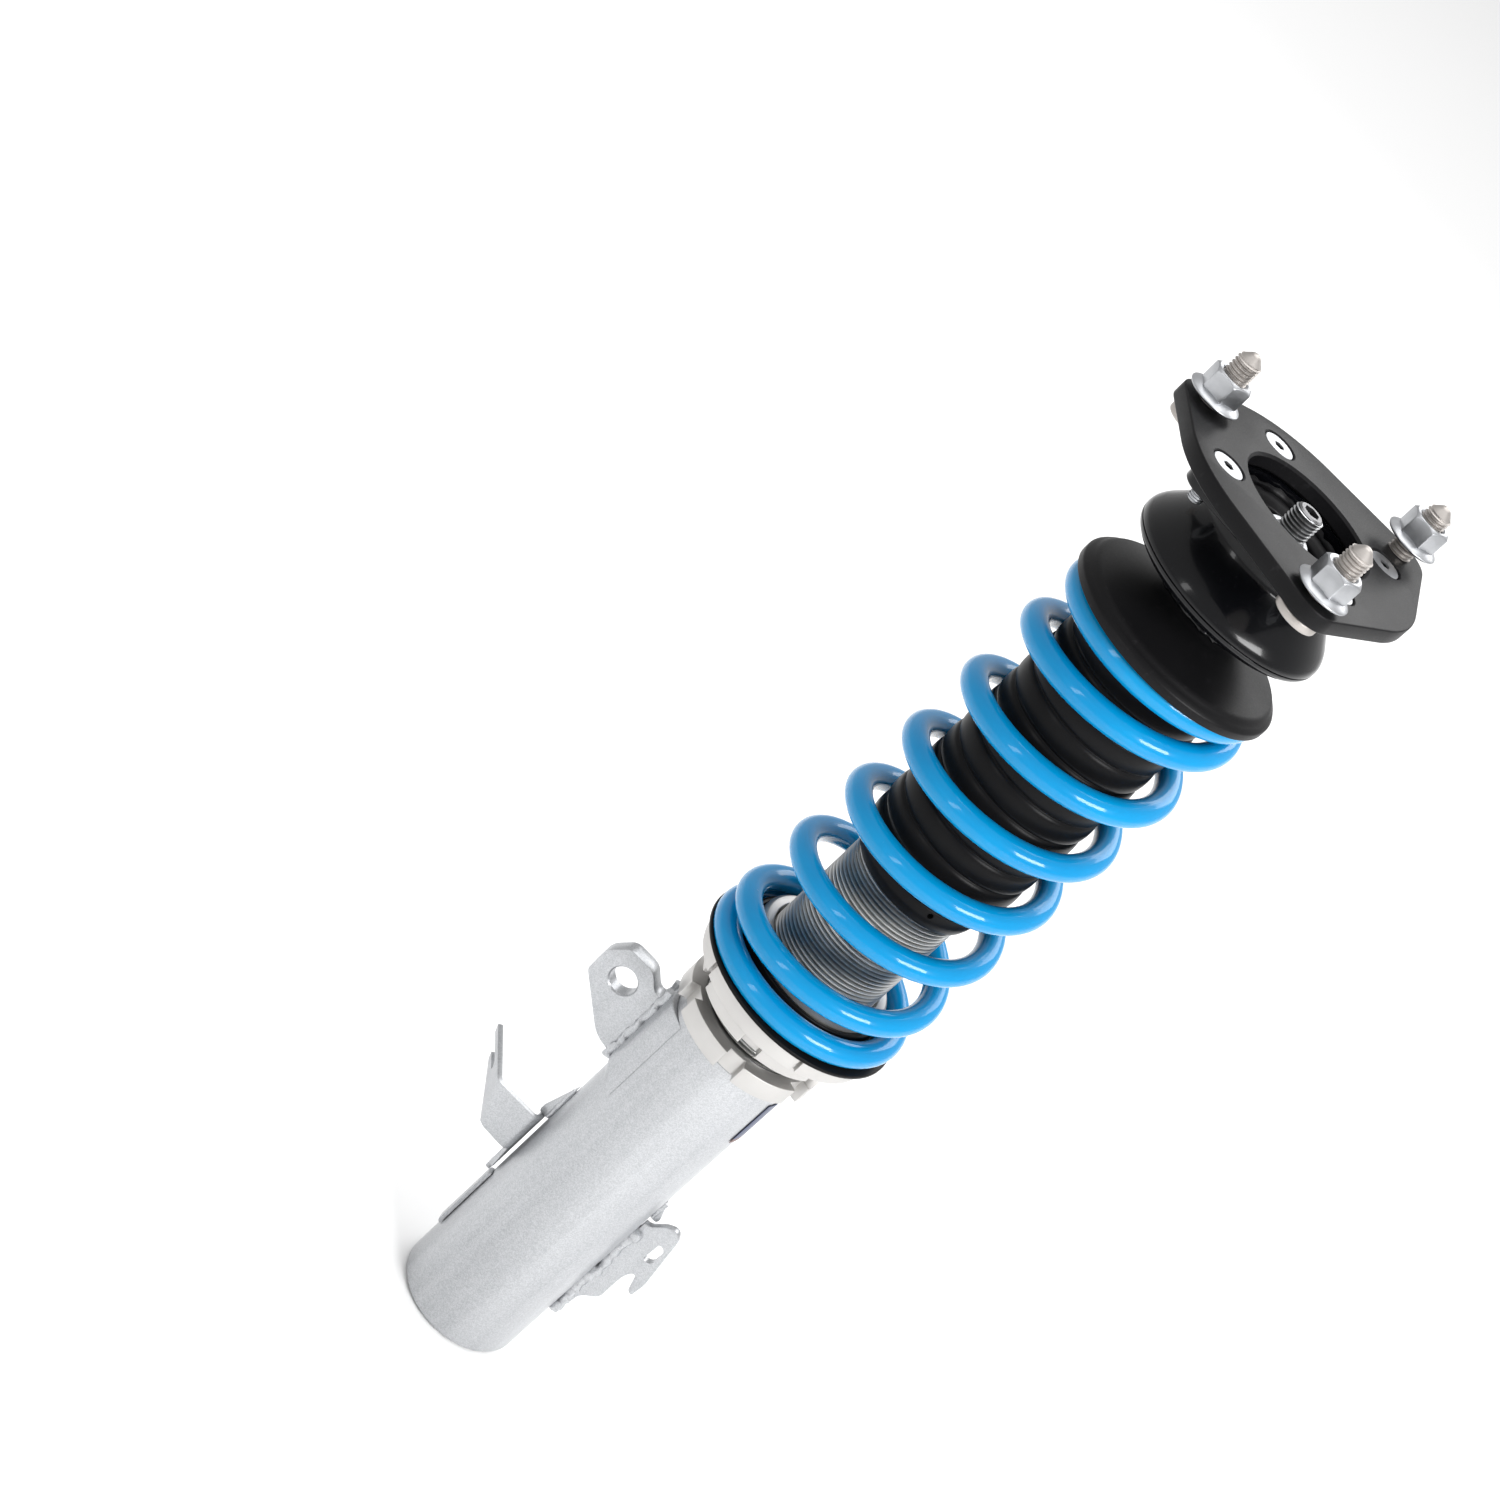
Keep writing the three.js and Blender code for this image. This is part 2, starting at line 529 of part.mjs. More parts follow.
// ---------- damper body and what is inside it ----------
function makeDamper() {
  addPiece('damper_body', ring(bodyBore, bodyRadius, bodyFootZ, bodyTop - bodyFootZ), 'zincBody');
  const inside = bodyBore - slip;
  addPiece('body_foot_plug', rod(inside, bodyFootZ, 8, fine), 'zincBody');
  const guideZ = bodyTop - 33;
  const rodHole = rodRadius + slip;
  addPiece('rod_guide', ring(rodHole, inside, guideZ, 18), 'bareAluminium');
  addPiece('oil_seal', ring(rodHole, inside, guideZ + 18 + gap, 6.6), 'rubber');
  const glandZ = guideZ + 25.2;
  addPiece('gland_nut', turned([
    [12.6, glandZ], [inside, glandZ], [inside, bodyTop], [15.4, bodyTop], [15.4, glandZ + 3.4], [12.6, glandZ + 3.4],
  ]), 'zincBody');
  addPiece('rod_wiper', ring(rodHole, 15, glandZ + 3.7, bodyTop - glandZ - 3), 'rubber');
  addPiece('strike_cap', ring(rodHole + 1.6, bodyRadius - 0.6, bodyTop + 1, 2), 'zincBody');
  const cuffBore = bodyRadius + slip;
  const cuffTop = bodyTop - 2;
  addPiece('boot_cuff', turned([
    [cuffBore, cuffTop - cuffHeight], [cuffRadius - 1, cuffTop - cuffHeight], [cuffRadius, cuffTop - cuffHeight + 3],
    [cuffRadius, cuffTop], [cuffBore, cuffTop],
  ]), 'rubber');
  addPiece('separator_piston', ring(5.3, inside, separatorZ, 12), 'bareAluminium');
  addPiece('separator_plug', rod(5, separatorZ, 12), 'whiteZinc');

  const pinRadius = 6;
  const pinBore = pinRadius + slip;
  const pistonHeight = 14;
  const stack = 2.4;
  const shoulderZ = guideZ - pistonDepth;
  const shimTop = shoulderZ - gap - stack;
  const pistonZ = shimTop - gap - pistonHeight;
  const pistonNutZ = pistonZ - gap - stack - gap - 7;
  addPiece('piston_nut', hexNut(17, 7, pistonNutZ, pinBore), 'whiteZinc');
  addPiece('rebound_shims', turned([
    [pinBore, pistonZ - gap], [inside - 4.6, pistonZ - gap], [inside - 4.6, pistonZ - gap - 0.9],
    [inside - 8.6, pistonZ - gap - 0.9], [inside - 8.6, pistonZ - gap - stack], [pinBore, pistonZ - gap - stack],
  ], coarse), 'shimSteel');
  const groove = { z: pistonZ + 3, height: 8, depth: 1.6 };
  addPiece('damper_piston', turned([
    [pinBore, pistonZ], [inside - 0.2, pistonZ], [inside - 0.2, groove.z], [inside - groove.depth, groove.z],
    [inside - groove.depth, groove.z + groove.height], [inside - 0.2, groove.z + groove.height],
    [inside - 0.2, pistonZ + pistonHeight], [pinBore, pistonZ + pistonHeight],
  ]), 'shimSteel');
  addPiece('piston_band', ring(
    inside - groove.depth + gap, inside, groove.z + gap, groove.height - 2 * gap), 'slideBand');
  addPiece('compression_shims', turned([
    [pinBore, shimTop], [inside - 3.6, shimTop], [inside - 3.6, shimTop + 0.9],
    [inside - 7.6, shimTop + 0.9], [inside - 7.6, shimTop + stack], [pinBore, shimTop + stack],
  ], coarse), 'shimSteel');
  const rodBottomZ = pistonNutZ - 4;
  const tip = rodTopZ - 1.2;
  const bar = turned([
    [0, rodBottomZ], [pinRadius, rodBottomZ], [pinRadius, shoulderZ], [rodRadius, shoulderZ],
    [rodRadius, rodShoulderZ], [rodStubRadius, rodShoulderZ], [rodStubRadius, washerZ - gap],
    [rodThreadRadius, washerZ - gap], [rodThreadRadius, tip], [rodThreadRadius - 1.2, rodTopZ], [0, rodTopZ],
  ]);
  addPiece('piston_rod', cut(bar, hexPrism(rodSocketWidth, rodTopZ - 6, 8)), 'hardChrome');
  addPiece('rebound_stop', ring(rodHole, inside - 4.6, guideZ - gap - 12, 12, coarse), 'rubber');
}

// ---------- bearing and top mount ----------
function makeBearing() {
  addPiece('bearing_lower_race', ring(raceBore, raceRadius, raceZ, raceHeight), 'bearingSteel');
  addPiece('bearing_upper_race', ring(stubBore, raceRadius, upperRaceZ, raceHeight), 'bearingSteel');
  const cageHalf = 0.8;
  const balls = Array.from({ length: ballCount }, (_, i) => {
    const { x, y } = polar(ballCircleRadius, (360 * i) / ballCount);
    return new THREE.SphereGeometry(ballRadius, 8, 6).translate(x, y, ballZ);
  });
  const cage = ring(ballCircleRadius - 2.4, ballCircleRadius + 2.4, ballZ - cageHalf, 2 * cageHalf);
  addPiece('bearing_ball_cage', join(cage, ...balls), 'bearingSteel');
}

function makeBowl() {
  const neckBore = bowlNeckRadius - bowlSheet;
  const seamZ = bowlZ + 11.6;
  const innerWidest = mountRadius - bowlSheet;
  const coneTop = flangeUndersideZ - 9.3;
  const shell = turned([
    [innerWidest, seamZ], [mountRadius, seamZ], [mountRadius - 0.2, seamZ + 1.5], [mountRadius - 1.5, seamZ + 4.4],
    [bowlNeckRadius + 1.4, coneTop], [bowlNeckRadius, coneTop + 3], [bowlNeckRadius, flangeUndersideZ + 1],
    [neckBore, flangeUndersideZ + 1], [neckBore, coneTop + 2], [bowlNeckRadius - 0.6, coneTop - 1.2],
    [innerWidest - 1.2, seamZ + 3.4],
  ]);
  const lobes = screwAngles.map((angle) => ({ ...polar(screwCircleRadius, angle), r: screwLobeRadius }));
  const flange = extruded(hullOfCircles(lobes, 24), flangeUndersideZ, mountFlange);
  const screwHoles = screwAngles.map((angle) => {
    const { x, y } = polar(screwCircleRadius, angle);
    return rod(screwRadius + slip, flangeUndersideZ - 1, mountFlange + 2).translate(x, y, 0);
  });
  const opening = rod(neckBore, flangeUndersideZ - 1, mountFlange + 2, fine);
  addPiece('mount_bowl_upper', cut(join(shell, cut(flange, opening)), ...screwHoles), 'glossBlack');
  const mouth = raceRadius + 1.2;
  addPiece('mount_bowl_lower', turned([
    [innerWidest, seamZ - gap], [mountRadius, seamZ - gap], [mountRadius - 0.8, seamZ - 2.2],
    [mountRadius - 2.8, seamZ - 3.7], [mouth + 1.7, bowlZ], [mouth, bowlZ], [mouth, bowlZ + 2.5],
    [innerWidest - 1.8, seamZ - 1.6],
  ]), 'glossBlack');
  addPiece('bush_inner_sleeve', ring(stubBore, 11, sleeveTubeZ, sleeveTubeHeight, coarse), 'whiteZinc');
  const bushZ = seamZ + 1.2;
  const bushTop = washerZ - 2 * gap;
  addPiece('mount_bush', turned([
    [11 + slip, bushZ], [35, bushZ], [36, bushZ + 2.4], [neckBore - slip, bushTop - 2.8],
    [neckBore - slip, bushTop], [11 + slip, bushTop],
  ]), 'rubber');
  addPiece('bush_retainer', turned([
    [19.5, flangeUndersideZ - 2.3], [neckBore - slip, flangeUndersideZ - 2.3],
    [neckBore - slip, flangeUndersideZ + 3.2], [20.5, flangeUndersideZ + 3.2], [19.5, flangeUndersideZ + 2.2],
  ]), 'satinBlack');
  addPiece('rod_washer', ring(threadBore, 16, washerZ, washerThickness, coarse), 'whiteZinc');
  addPiece('rod_nut', hexNut(18, rodNutHeight, rodNutZ, threadBore), 'whiteZinc');
}

function makePlate() {
  const lobes = studSites.map(({ x, y, lobe }) => ({ x, y, r: lobe }));
  const shape = hullOfCircles([plateDisc, ...lobes], 48);
  const blank = extruded(shape, plateZ, plateThickness);
  const studHoles = studSites.map(({ x, y }) => (
    rod(studRadius + slip, plateZ - 1, plateThickness + 2).translate(x, y, 0)
  ));
  const countersinks = screwAngles.map((angle) => {
    const { x, y } = polar(screwCircleRadius, angle);
    return turned([
      [0, plateZ - 1], [screwRadius + slip, plateZ - 1], [screwRadius + slip, plateTop - 4.2],
      [screwHeadRadius + slip, plateTop - 0.5], [screwHeadRadius + slip, plateTop + 1], [0, plateTop + 1],
    ], coarse).translate(x, y, 0);
  });
  const centre = rod(plateHoleRadius, plateZ - 1, plateThickness + 2, fine);
  addPiece('top_plate', cut(blank, centre, ...studHoles, ...countersinks), 'satinBlack');
}

function makeFasteners() {
  const headTop = plateZ - gap;
  studSites.forEach(({ name, x, y, nutLift }) => {
    const tip = plateTop + studLength;
    addPiece(`mount_stud_${name}`, turned([
      [0, headTop - studHeadHeight], [studHeadRadius, headTop - studHeadHeight], [studHeadRadius, headTop],
      [studRadius, headTop], [studRadius, tip - 4.1], [2, tip], [0, tip],
    ], coarse).translate(x, y, 0), 'warmZinc');
    const nutZ = plateTop + nutLift;
    const flange = turned([
      [0, nutZ], [nutFlangeRadius, nutZ], [nutFlangeRadius, nutZ + 1], [nutWidth / 2, nutZ + 3], [0, nutZ + 3],
    ], coarse);
    const hex = hexNut(nutWidth, nutHeight - 1, nutZ + 1, studRadius + slip);
    const nut = cut(join(flange, hex), rod(studRadius + slip, nutZ - 1, nutHeight + 2));
    addPiece(`flange_nut_${name}`, nut.translate(x, y, 0), 'whiteZinc');
  });
  screwAngles.forEach((angle, i) => {
    const { x, y } = polar(screwCircleRadius, angle);
    const top = plateTop - 0.4;
    const screw = turned([
      [0, top - screwLength], [screwRadius, top - screwLength], [screwRadius, top - 4.1],
      [screwHeadRadius, top - 0.5], [screwHeadRadius, top], [0, top],
    ], coarse);
    addPiece(`flange_screw_${i + 1}`, cut(screw, hexPrism(4, top - 2.6, 4)).translate(x, y, 0), 'whiteZinc');
  });
}

makeSleeve();
makeAdjusters();
makeUpperSeat();
makeDamper();
makeBearing();
makeBowl();
makePlate();
makeFasteners();

export default strut;
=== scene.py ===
"""Front coilover strut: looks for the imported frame.

Everything is in metres in the row frame. Sizes below are written in millimetres and scaled once.
"""
import json
import math

import bmesh
import bpy
from mathutils import Matrix, Vector, noise


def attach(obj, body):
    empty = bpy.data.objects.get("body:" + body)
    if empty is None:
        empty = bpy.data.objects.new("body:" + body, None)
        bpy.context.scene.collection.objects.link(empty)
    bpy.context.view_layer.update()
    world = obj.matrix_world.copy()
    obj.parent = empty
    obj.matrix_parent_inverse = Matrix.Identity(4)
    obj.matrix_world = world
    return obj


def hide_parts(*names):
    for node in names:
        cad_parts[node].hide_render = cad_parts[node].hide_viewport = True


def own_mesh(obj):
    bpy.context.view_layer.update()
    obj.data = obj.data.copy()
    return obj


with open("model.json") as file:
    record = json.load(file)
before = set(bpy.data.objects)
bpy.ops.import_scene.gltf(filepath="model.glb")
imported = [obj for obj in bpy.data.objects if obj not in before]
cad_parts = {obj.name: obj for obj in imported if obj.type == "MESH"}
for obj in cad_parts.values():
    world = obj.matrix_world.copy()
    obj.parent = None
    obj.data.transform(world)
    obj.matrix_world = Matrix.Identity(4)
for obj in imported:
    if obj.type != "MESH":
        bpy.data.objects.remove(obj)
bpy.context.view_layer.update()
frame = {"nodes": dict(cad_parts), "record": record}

MM = 0.001
UP = Vector((0, 0, 1))

# how close counts as touching, in metres
MERGE = 2e-7
ON_AXIS = 1e-7
ON_WALL = 2e-6
CUT_SLACK = 1e-8

# weld beads
BEAD_FLATNESS = 0.75
WOBBLE_SCALE = 300
SURFACE_SCALE = 520

# studio
FLOOR_TONE = (0.88, 0.88, 0.88, 1)
FLOOR_RADIUS = 14
WORLD_STRENGTH = 0.62
CAMERA_TILT, CAMERA_ROLL = 28.29, 45.38
CAMERA_PLACE = (-0.07736, -1.02595, 0.83226)
FOCAL_LENGTH = 74.28


# ---------------------------------------------------------------- workshop
def up(points):
    """Points in millimetres as vectors in metres."""
    return [Vector(point) * MM for point in points]


def on_circle(radius, degrees):
    """(x, y) on a circle about the strut's axis."""
    angle = math.radians(degrees)
    return radius * math.cos(angle), radius * math.sin(angle)


def verts_of(geometry):
    return [item for item in geometry if isinstance(item, bmesh.types.BMVert)]


def edges_of(geometry):
    return [item for item in geometry if isinstance(item, bmesh.types.BMEdge)]


def all_of(mesh):
    return mesh.verts[:] + mesh.edges[:] + mesh.faces[:]


def smooth(t):
    """0 to 1 with an easy start and finish."""
    t = min(max(t, 0), 1)
    return t * t * (3 - 2 * t)


def drawn(mesh, corners, rounding=4):
    """A flat face in the XY plane from (x, y) corners, each with an optional rounding as a third number."""
    spots = [mesh.verts.new((corner[0] * MM, corner[1] * MM, 0)) for corner in corners]
    mesh.faces.new(spots)
    for spot, corner in zip(spots, corners):
        if len(corner) > 2:
            bmesh.ops.bevel(
                mesh, geom=[spot], offset=corner[2] * MM, offset_type="OFFSET", segments=rounding,
                profile=0.5, affect="VERTICES", clamp_overlap=True, material=-1,
            )


def soften(mesh, width, angle=40, segments=2):
    """Breaks the sharp edges of a machined or cut piece."""
    mesh.normal_update()
    sharp = [
        edge for edge in mesh.edges
        if len(edge.link_faces) == 2 and edge.calc_face_angle() > math.radians(angle)
    ]
    bmesh.ops.bevel(
        mesh, geom=sharp, offset=width * MM, offset_type="OFFSET", segments=segments,
        profile=0.5, affect="EDGES", clamp_overlap=True, material=-1,
    )


def tidy(mesh):
    """Merges doubled corners and points the faces outwards."""
    bmesh.ops.remove_doubles(mesh, verts=mesh.verts, dist=MERGE)
    bmesh.ops.recalc_face_normals(mesh, faces=mesh.faces)


def turned(profile, steps=96, start=0.0, sweep=360.0, mesh=None):
    """A piece turned about the strut's axis from (radius, height) corners."""
    part = bmesh.new()
    drawn(part, profile)
    bmesh.ops.rotate(part, verts=part.verts, cent=(0, 0, 0), matrix=Matrix.Rotation(math.pi / 2, 3, "X"))
    bmesh.ops.rotate(
        part, verts=part.verts, cent=(0, 0, 0), matrix=Matrix.Rotation(math.radians(start), 3, "Z"))
    whole = sweep > 359.9
    if whole:
        bmesh.ops.delete(part, geom=part.faces[:], context="FACES_ONLY")
        on_axis = [edge for edge in part.edges if all(v.co.xy.length < ON_AXIS for v in edge.verts)]
        bmesh.ops.delete(part, geom=on_axis, context="EDGES")
    bmesh.ops.spin(
        part, geom=all_of(part), cent=(0, 0, 0), axis=(0, 0, 1),
        dvec=(0, 0, 0), angle=math.radians(sweep), steps=steps, use_merge=whole, use_duplicate=False,
    )
    tidy(part)
    if mesh is None:
        return part
    return joined(mesh, part)


def joined(mesh, other):
    """Adds another piece's closed shells to a mesh."""
    copy = bpy.data.meshes.new("shell")
    other.to_mesh(copy)
    other.free()
    mesh.from_mesh(copy)
    bpy.data.meshes.remove(copy)
    return mesh


def slab(corners, thickness, place=None, edge=0.4, rounding=4):
    """A plate cut from (x, y) corners, centred on its own plane, then put in place."""
    part = bmesh.new()
    drawn(part, corners, rounding)
    grown = bmesh.ops.extrude_face_region(part, geom=part.faces[:])["geom"]
    lifted = verts_of(grown)
    bmesh.ops.translate(part, verts=lifted, vec=(0, 0, thickness * MM))
    bmesh.ops.translate(part, verts=part.verts, vec=(0, 0, -thickness * MM / 2))
    tidy(part)
    if edge:
        soften(part, edge)
    if place is not None:
        bmesh.ops.transform(part, matrix=place, verts=part.verts)
        bmesh.ops.recalc_face_normals(part, faces=part.faces)
    return part


def upright(y=0.0):
    """Where a plate drawn as (x, z) stands: its plane faces the front."""
    return Matrix.Translation((0, y * MM, 0)) @ Matrix.Rotation(math.pi / 2, 4, "X")


def raise_sectors(mesh, radius, reach, stands):
    """Leaves sectors of a turned wall standing out from it, as notches milled between them do."""
    wall = []
    for face in mesh.faces:
        middle = face.calc_center_median()
        if all(abs(vert.co.xy.length - radius * MM) < ON_WALL for vert in face.verts):
            if stands(math.degrees(math.atan2(middle.y, middle.x)) % 360):
                wall.append(face)
    grown = bmesh.ops.extrude_face_region(mesh, geom=wall)["geom"]
    lifted = verts_of(grown)
    share = (radius + reach) / radius
    bmesh.ops.scale(mesh, verts=lifted, vec=(share, share, 1))
    bmesh.ops.recalc_face_normals(mesh, faces=mesh.faces)


def outside_notches(centre, spacing, half):
    """Whether an angle lies between the notches, for raise_sectors."""
    return lambda angle: abs((angle - centre + spacing / 2) % spacing - spacing / 2) > half


def trim(mesh, height, keep_above):
    """Cuts everything flat at a height and gives the open edges of the cut."""
    sign = -1 if keep_above else 1
    bmesh.ops.bisect_plane(
        mesh, geom=all_of(mesh), dist=CUT_SLACK,
        plane_co=(0, 0, height * MM), plane_no=(0, 0, sign), clear_outer=True, clear_inner=False,
    )
    return [
        edge for edge in mesh.edges
        if edge.is_boundary and all(abs(v.co.z - height * MM) < MERGE for v in edge.verts)
    ]


def thread(crest, depth, pitch, low, high, steps=64, bore=0.0, mesh=None):
    """A cut thread: one tooth turned up its helix, repeated every pitch and trimmed flat, bored if asked."""
    part = bmesh.new()
    root = crest - depth
    tooth = [(root, 0), (root, 0.14), (crest, 0.44), (crest, 0.56), (root, 0.86), (root, 1)]
    spots = [part.verts.new((r * MM, 0, (low + (z - 1) * pitch) * MM)) for r, z in tooth]
    for first, second in zip(spots, spots[1:]):
        part.edges.new((first, second))
    bmesh.ops.spin(
        part, geom=part.verts[:] + part.edges[:], cent=(0, 0, 0), axis=(0, 0, 1),
        dvec=(0, 0, pitch * MM / steps), angle=2 * math.pi, steps=steps, use_duplicate=False,
    )
    one_turn = all_of(part)
    for turn in range(1, math.ceil((high - low) / pitch) + 2):
        copy = bmesh.ops.duplicate(part, geom=one_turn)["geom"]
        bmesh.ops.translate(
            part, verts=verts_of(copy), vec=(0, 0, turn * pitch * MM),
        )
    tidy(part)
    rim = trim(part, low, True)
    if bore:
        circle = bmesh.ops.create_circle(
            part, segments=steps, radius=bore * MM, cap_ends=False,
            matrix=Matrix.Translation((0, 0, low * MM)))
        mouth = list({edge for vert in circle["verts"] for edge in vert.link_edges})
        wall = bmesh.ops.extrude_edge_only(part, edges=mouth)["geom"]
        bmesh.ops.translate(
            part, verts=verts_of(wall), vec=(0, 0, (high - low + 1) * MM))
        rim += mouth
    bmesh.ops.triangle_fill(part, use_beauty=True, use_dissolve=False, edges=rim)
    bmesh.ops.triangle_fill(part, use_beauty=True, use_dissolve=False, edges=trim(part, high, False))
    tidy(part)
    return joined(mesh, part) if mesh is not None else part


def flats(mesh, width):
    """Mills six flats on a turned blank and closes each cut."""
    for side in range(6):
        facing = Matrix.Rotation(math.radians(60 * side), 3, "Z") @ Vector((1, 0, 0))
        cut = bmesh.ops.bisect_plane(
            mesh, geom=all_of(mesh), dist=CUT_SLACK,
            plane_co=facing * width * MM / 2, plane_no=facing, clear_outer=True, clear_inner=False,
        )["geom_cut"]
        rim = [edge for edge in edges_of(cut) if edge.is_boundary]
        bmesh.ops.edgeloop_fill(mesh, edges=rim)
    tidy(mesh)
    return mesh


def hex_nut(width, low, high, bore):
    """A nut: a chamfered blank with its bore, milled to six flats."""
    corner = width / math.sqrt(3)
    part = turned([
        (bore + 0.7, low), (width / 2 - 0.3, low), (corner + 0.05, low + 0.9), (corner + 0.05, high - 1.2),
        (width / 2 - 0.4, high), (bore + 0.7, high), (bore, high - 0.7), (bore, low + 0.7),
    ], 72)
    flats(part, width)
    return part


def bead(path, radius, lump=0.25, closed=False, sides=10, seed=0.0):
    """A weld or sealer bead laid along a path, with the ripple and lumps of one run by hand."""
    part = bmesh.new()
    points = up(path)
    rings = []
    for index, point in enumerate(points):
        before = points[index - 1] if index or closed else point
        after = points[(index + 1) % len(points)] if index + 1 < len(points) or closed else point
        turn = (after - before).to_track_quat("Z", "X").to_matrix().to_4x4()
        wobble = noise.noise(point * WOBBLE_SCALE + Vector((seed, 0, 0)))
        ripple = 1 + lump * (0.3 * math.sin(index * 1.9 + seed) + wobble)
        ring = bmesh.ops.create_circle(
            part, segments=sides, radius=radius * MM * ripple, cap_ends=False,
            matrix=Matrix.Translation(point) @ turn @ Matrix.Diagonal((1, BEAD_FLATNESS, 1, 1)),
        )["verts"]
        rings.append({edge for vert in ring for edge in vert.link_edges})
    pairs = list(zip(rings, rings[1:])) + ([(rings[-1], rings[0])] if closed else [])
    for first, second in pairs:
        bmesh.ops.bridge_loops(part, edges=list(first | second))
    if not closed:
        for ring in (rings[0], rings[-1]):
            bmesh.ops.edgeloop_fill(part, edges=list(ring))
    tidy(part)
    for vert in part.verts:
        shift = noise.noise_vector(vert.co * SURFACE_SCALE + Vector((seed, seed, 0)))
        vert.co += shift * radius * MM * lump * 0.5
    return part


def hull_of_discs(discs, low, high, edge, steps=72):
    """The plate with the tightest outline round a set of discs."""
    part = bmesh.new()
    for x, y, radius in discs:
        for height in (low, high):
            bmesh.ops.create_circle(
                part, segments=steps, radius=radius * MM, cap_ends=False,
                matrix=Matrix.Translation(up([(x, y, height)])[0]),
            )
    hull = bmesh.ops.convex_hull(part, input=part.verts, use_existing_faces=False)
    spare = set(verts_of(hull["geom_interior"] + hull["geom_unused"]))
    bmesh.ops.delete(part, geom=list(spare), context="VERTS")
    loose = [edge for edge in part.edges if not edge.link_faces]
    bmesh.ops.delete(part, geom=loose, context="EDGES")
    bmesh.ops.dissolve_limit(part, angle_limit=math.radians(0.5), verts=part.verts, edges=part.edges)
    tidy(part)
    soften(part, edge, 60, 3)
    return part


def moved(mesh, x=0.0, y=0.0, turn=0.0):
    """Turns a mesh about the strut's axis and shifts it."""
    place = Matrix.Translation(up([(x, y, 0)])[0]) @ Matrix.Rotation(math.radians(turn), 4, "Z")
    bmesh.ops.transform(mesh, matrix=place, verts=mesh.verts)
    return mesh


def shown(name, mesh, sharp=32):
    """The mesh as an object, smooth except where it turns a corner."""
    bmesh.ops.triangulate(mesh, faces=[face for face in mesh.faces if len(face.verts) > 4])
    data = bpy.data.meshes.new(name)
    mesh.to_mesh(data)
    mesh.free()
    piece = bpy.data.objects.new(name, data)
    bpy.context.scene.collection.objects.link(piece)
    data.polygons.foreach_set("use_smooth", [True] * len(data.polygons))
    data.set_sharp_from_angle(angle=math.radians(sharp))
    return piece


def carved(piece, *tools, sharp=32):
    """Cuts other meshes out of a piece."""
    cutters = [shown("cutter", tool) for tool in tools]
    for cutter in cutters:
        change = piece.modifiers.new("cut", "BOOLEAN")
        change.operation = "DIFFERENCE"
        change.solver = "EXACT"
        change.object = cutter
    bpy.context.view_layer.update()
    cut = bpy.data.meshes.new_from_object(piece.evaluated_get(bpy.context.evaluated_depsgraph_get()))
    piece.modifiers.clear()
    piece.data = cut
    piece.data.name = piece.name
    cut.polygons.foreach_set("use_smooth", [True] * len(cut.polygons))
    cut.set_sharp_from_angle(angle=math.radians(sharp))
    for cutter in cutters:
        bpy.data.objects.remove(cutter)
    return piece


def added(piece, *shells):
    """Adds closed shells, such as weld beads and threads, to a piece that is already cut."""
    mesh = bmesh.new()
    mesh.from_mesh(piece.data)
    for shell in shells:
        joined(mesh, shell)
    name = piece.name
    bpy.data.objects.remove(piece)
    return shown(name, mesh)


def settle(piece, body, finish, *nodes):
    """Gives a piece its finish and its body, and hides the frame nodes it stands for."""
    piece.data.materials.clear()
    piece.data.materials.append(FINISHES[finish])
    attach(piece, body)
    if nodes:
        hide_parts(*nodes)
    return piece


# ---------------------------------------------------------------- finishes
class Number:
    """A value on its way through a finish, so that shader sums read as sums."""

    def __init__(self, finish, socket):
        self.finish = finish
        self.socket = socket

    def maths(self, operation, *others):
        return self.finish.node("ShaderNodeMath", {"operation": operation}, [self, *others])

    def __add__(self, other):
        return self.maths("ADD", other)

    __radd__ = __add__

    def __mul__(self, other):
        return self.maths("MULTIPLY", other)

    __rmul__ = __mul__

    def __rsub__(self, other):
        return self * -1 + other

    def step(self, low, high):
        """0 below low, 1 above high, smooth between."""
        return self.finish.node(
            "ShaderNodeMapRange", {"interpolation_type": "SMOOTHSTEP"},
            {"Value": self, "From Min": low, "From Max": high})


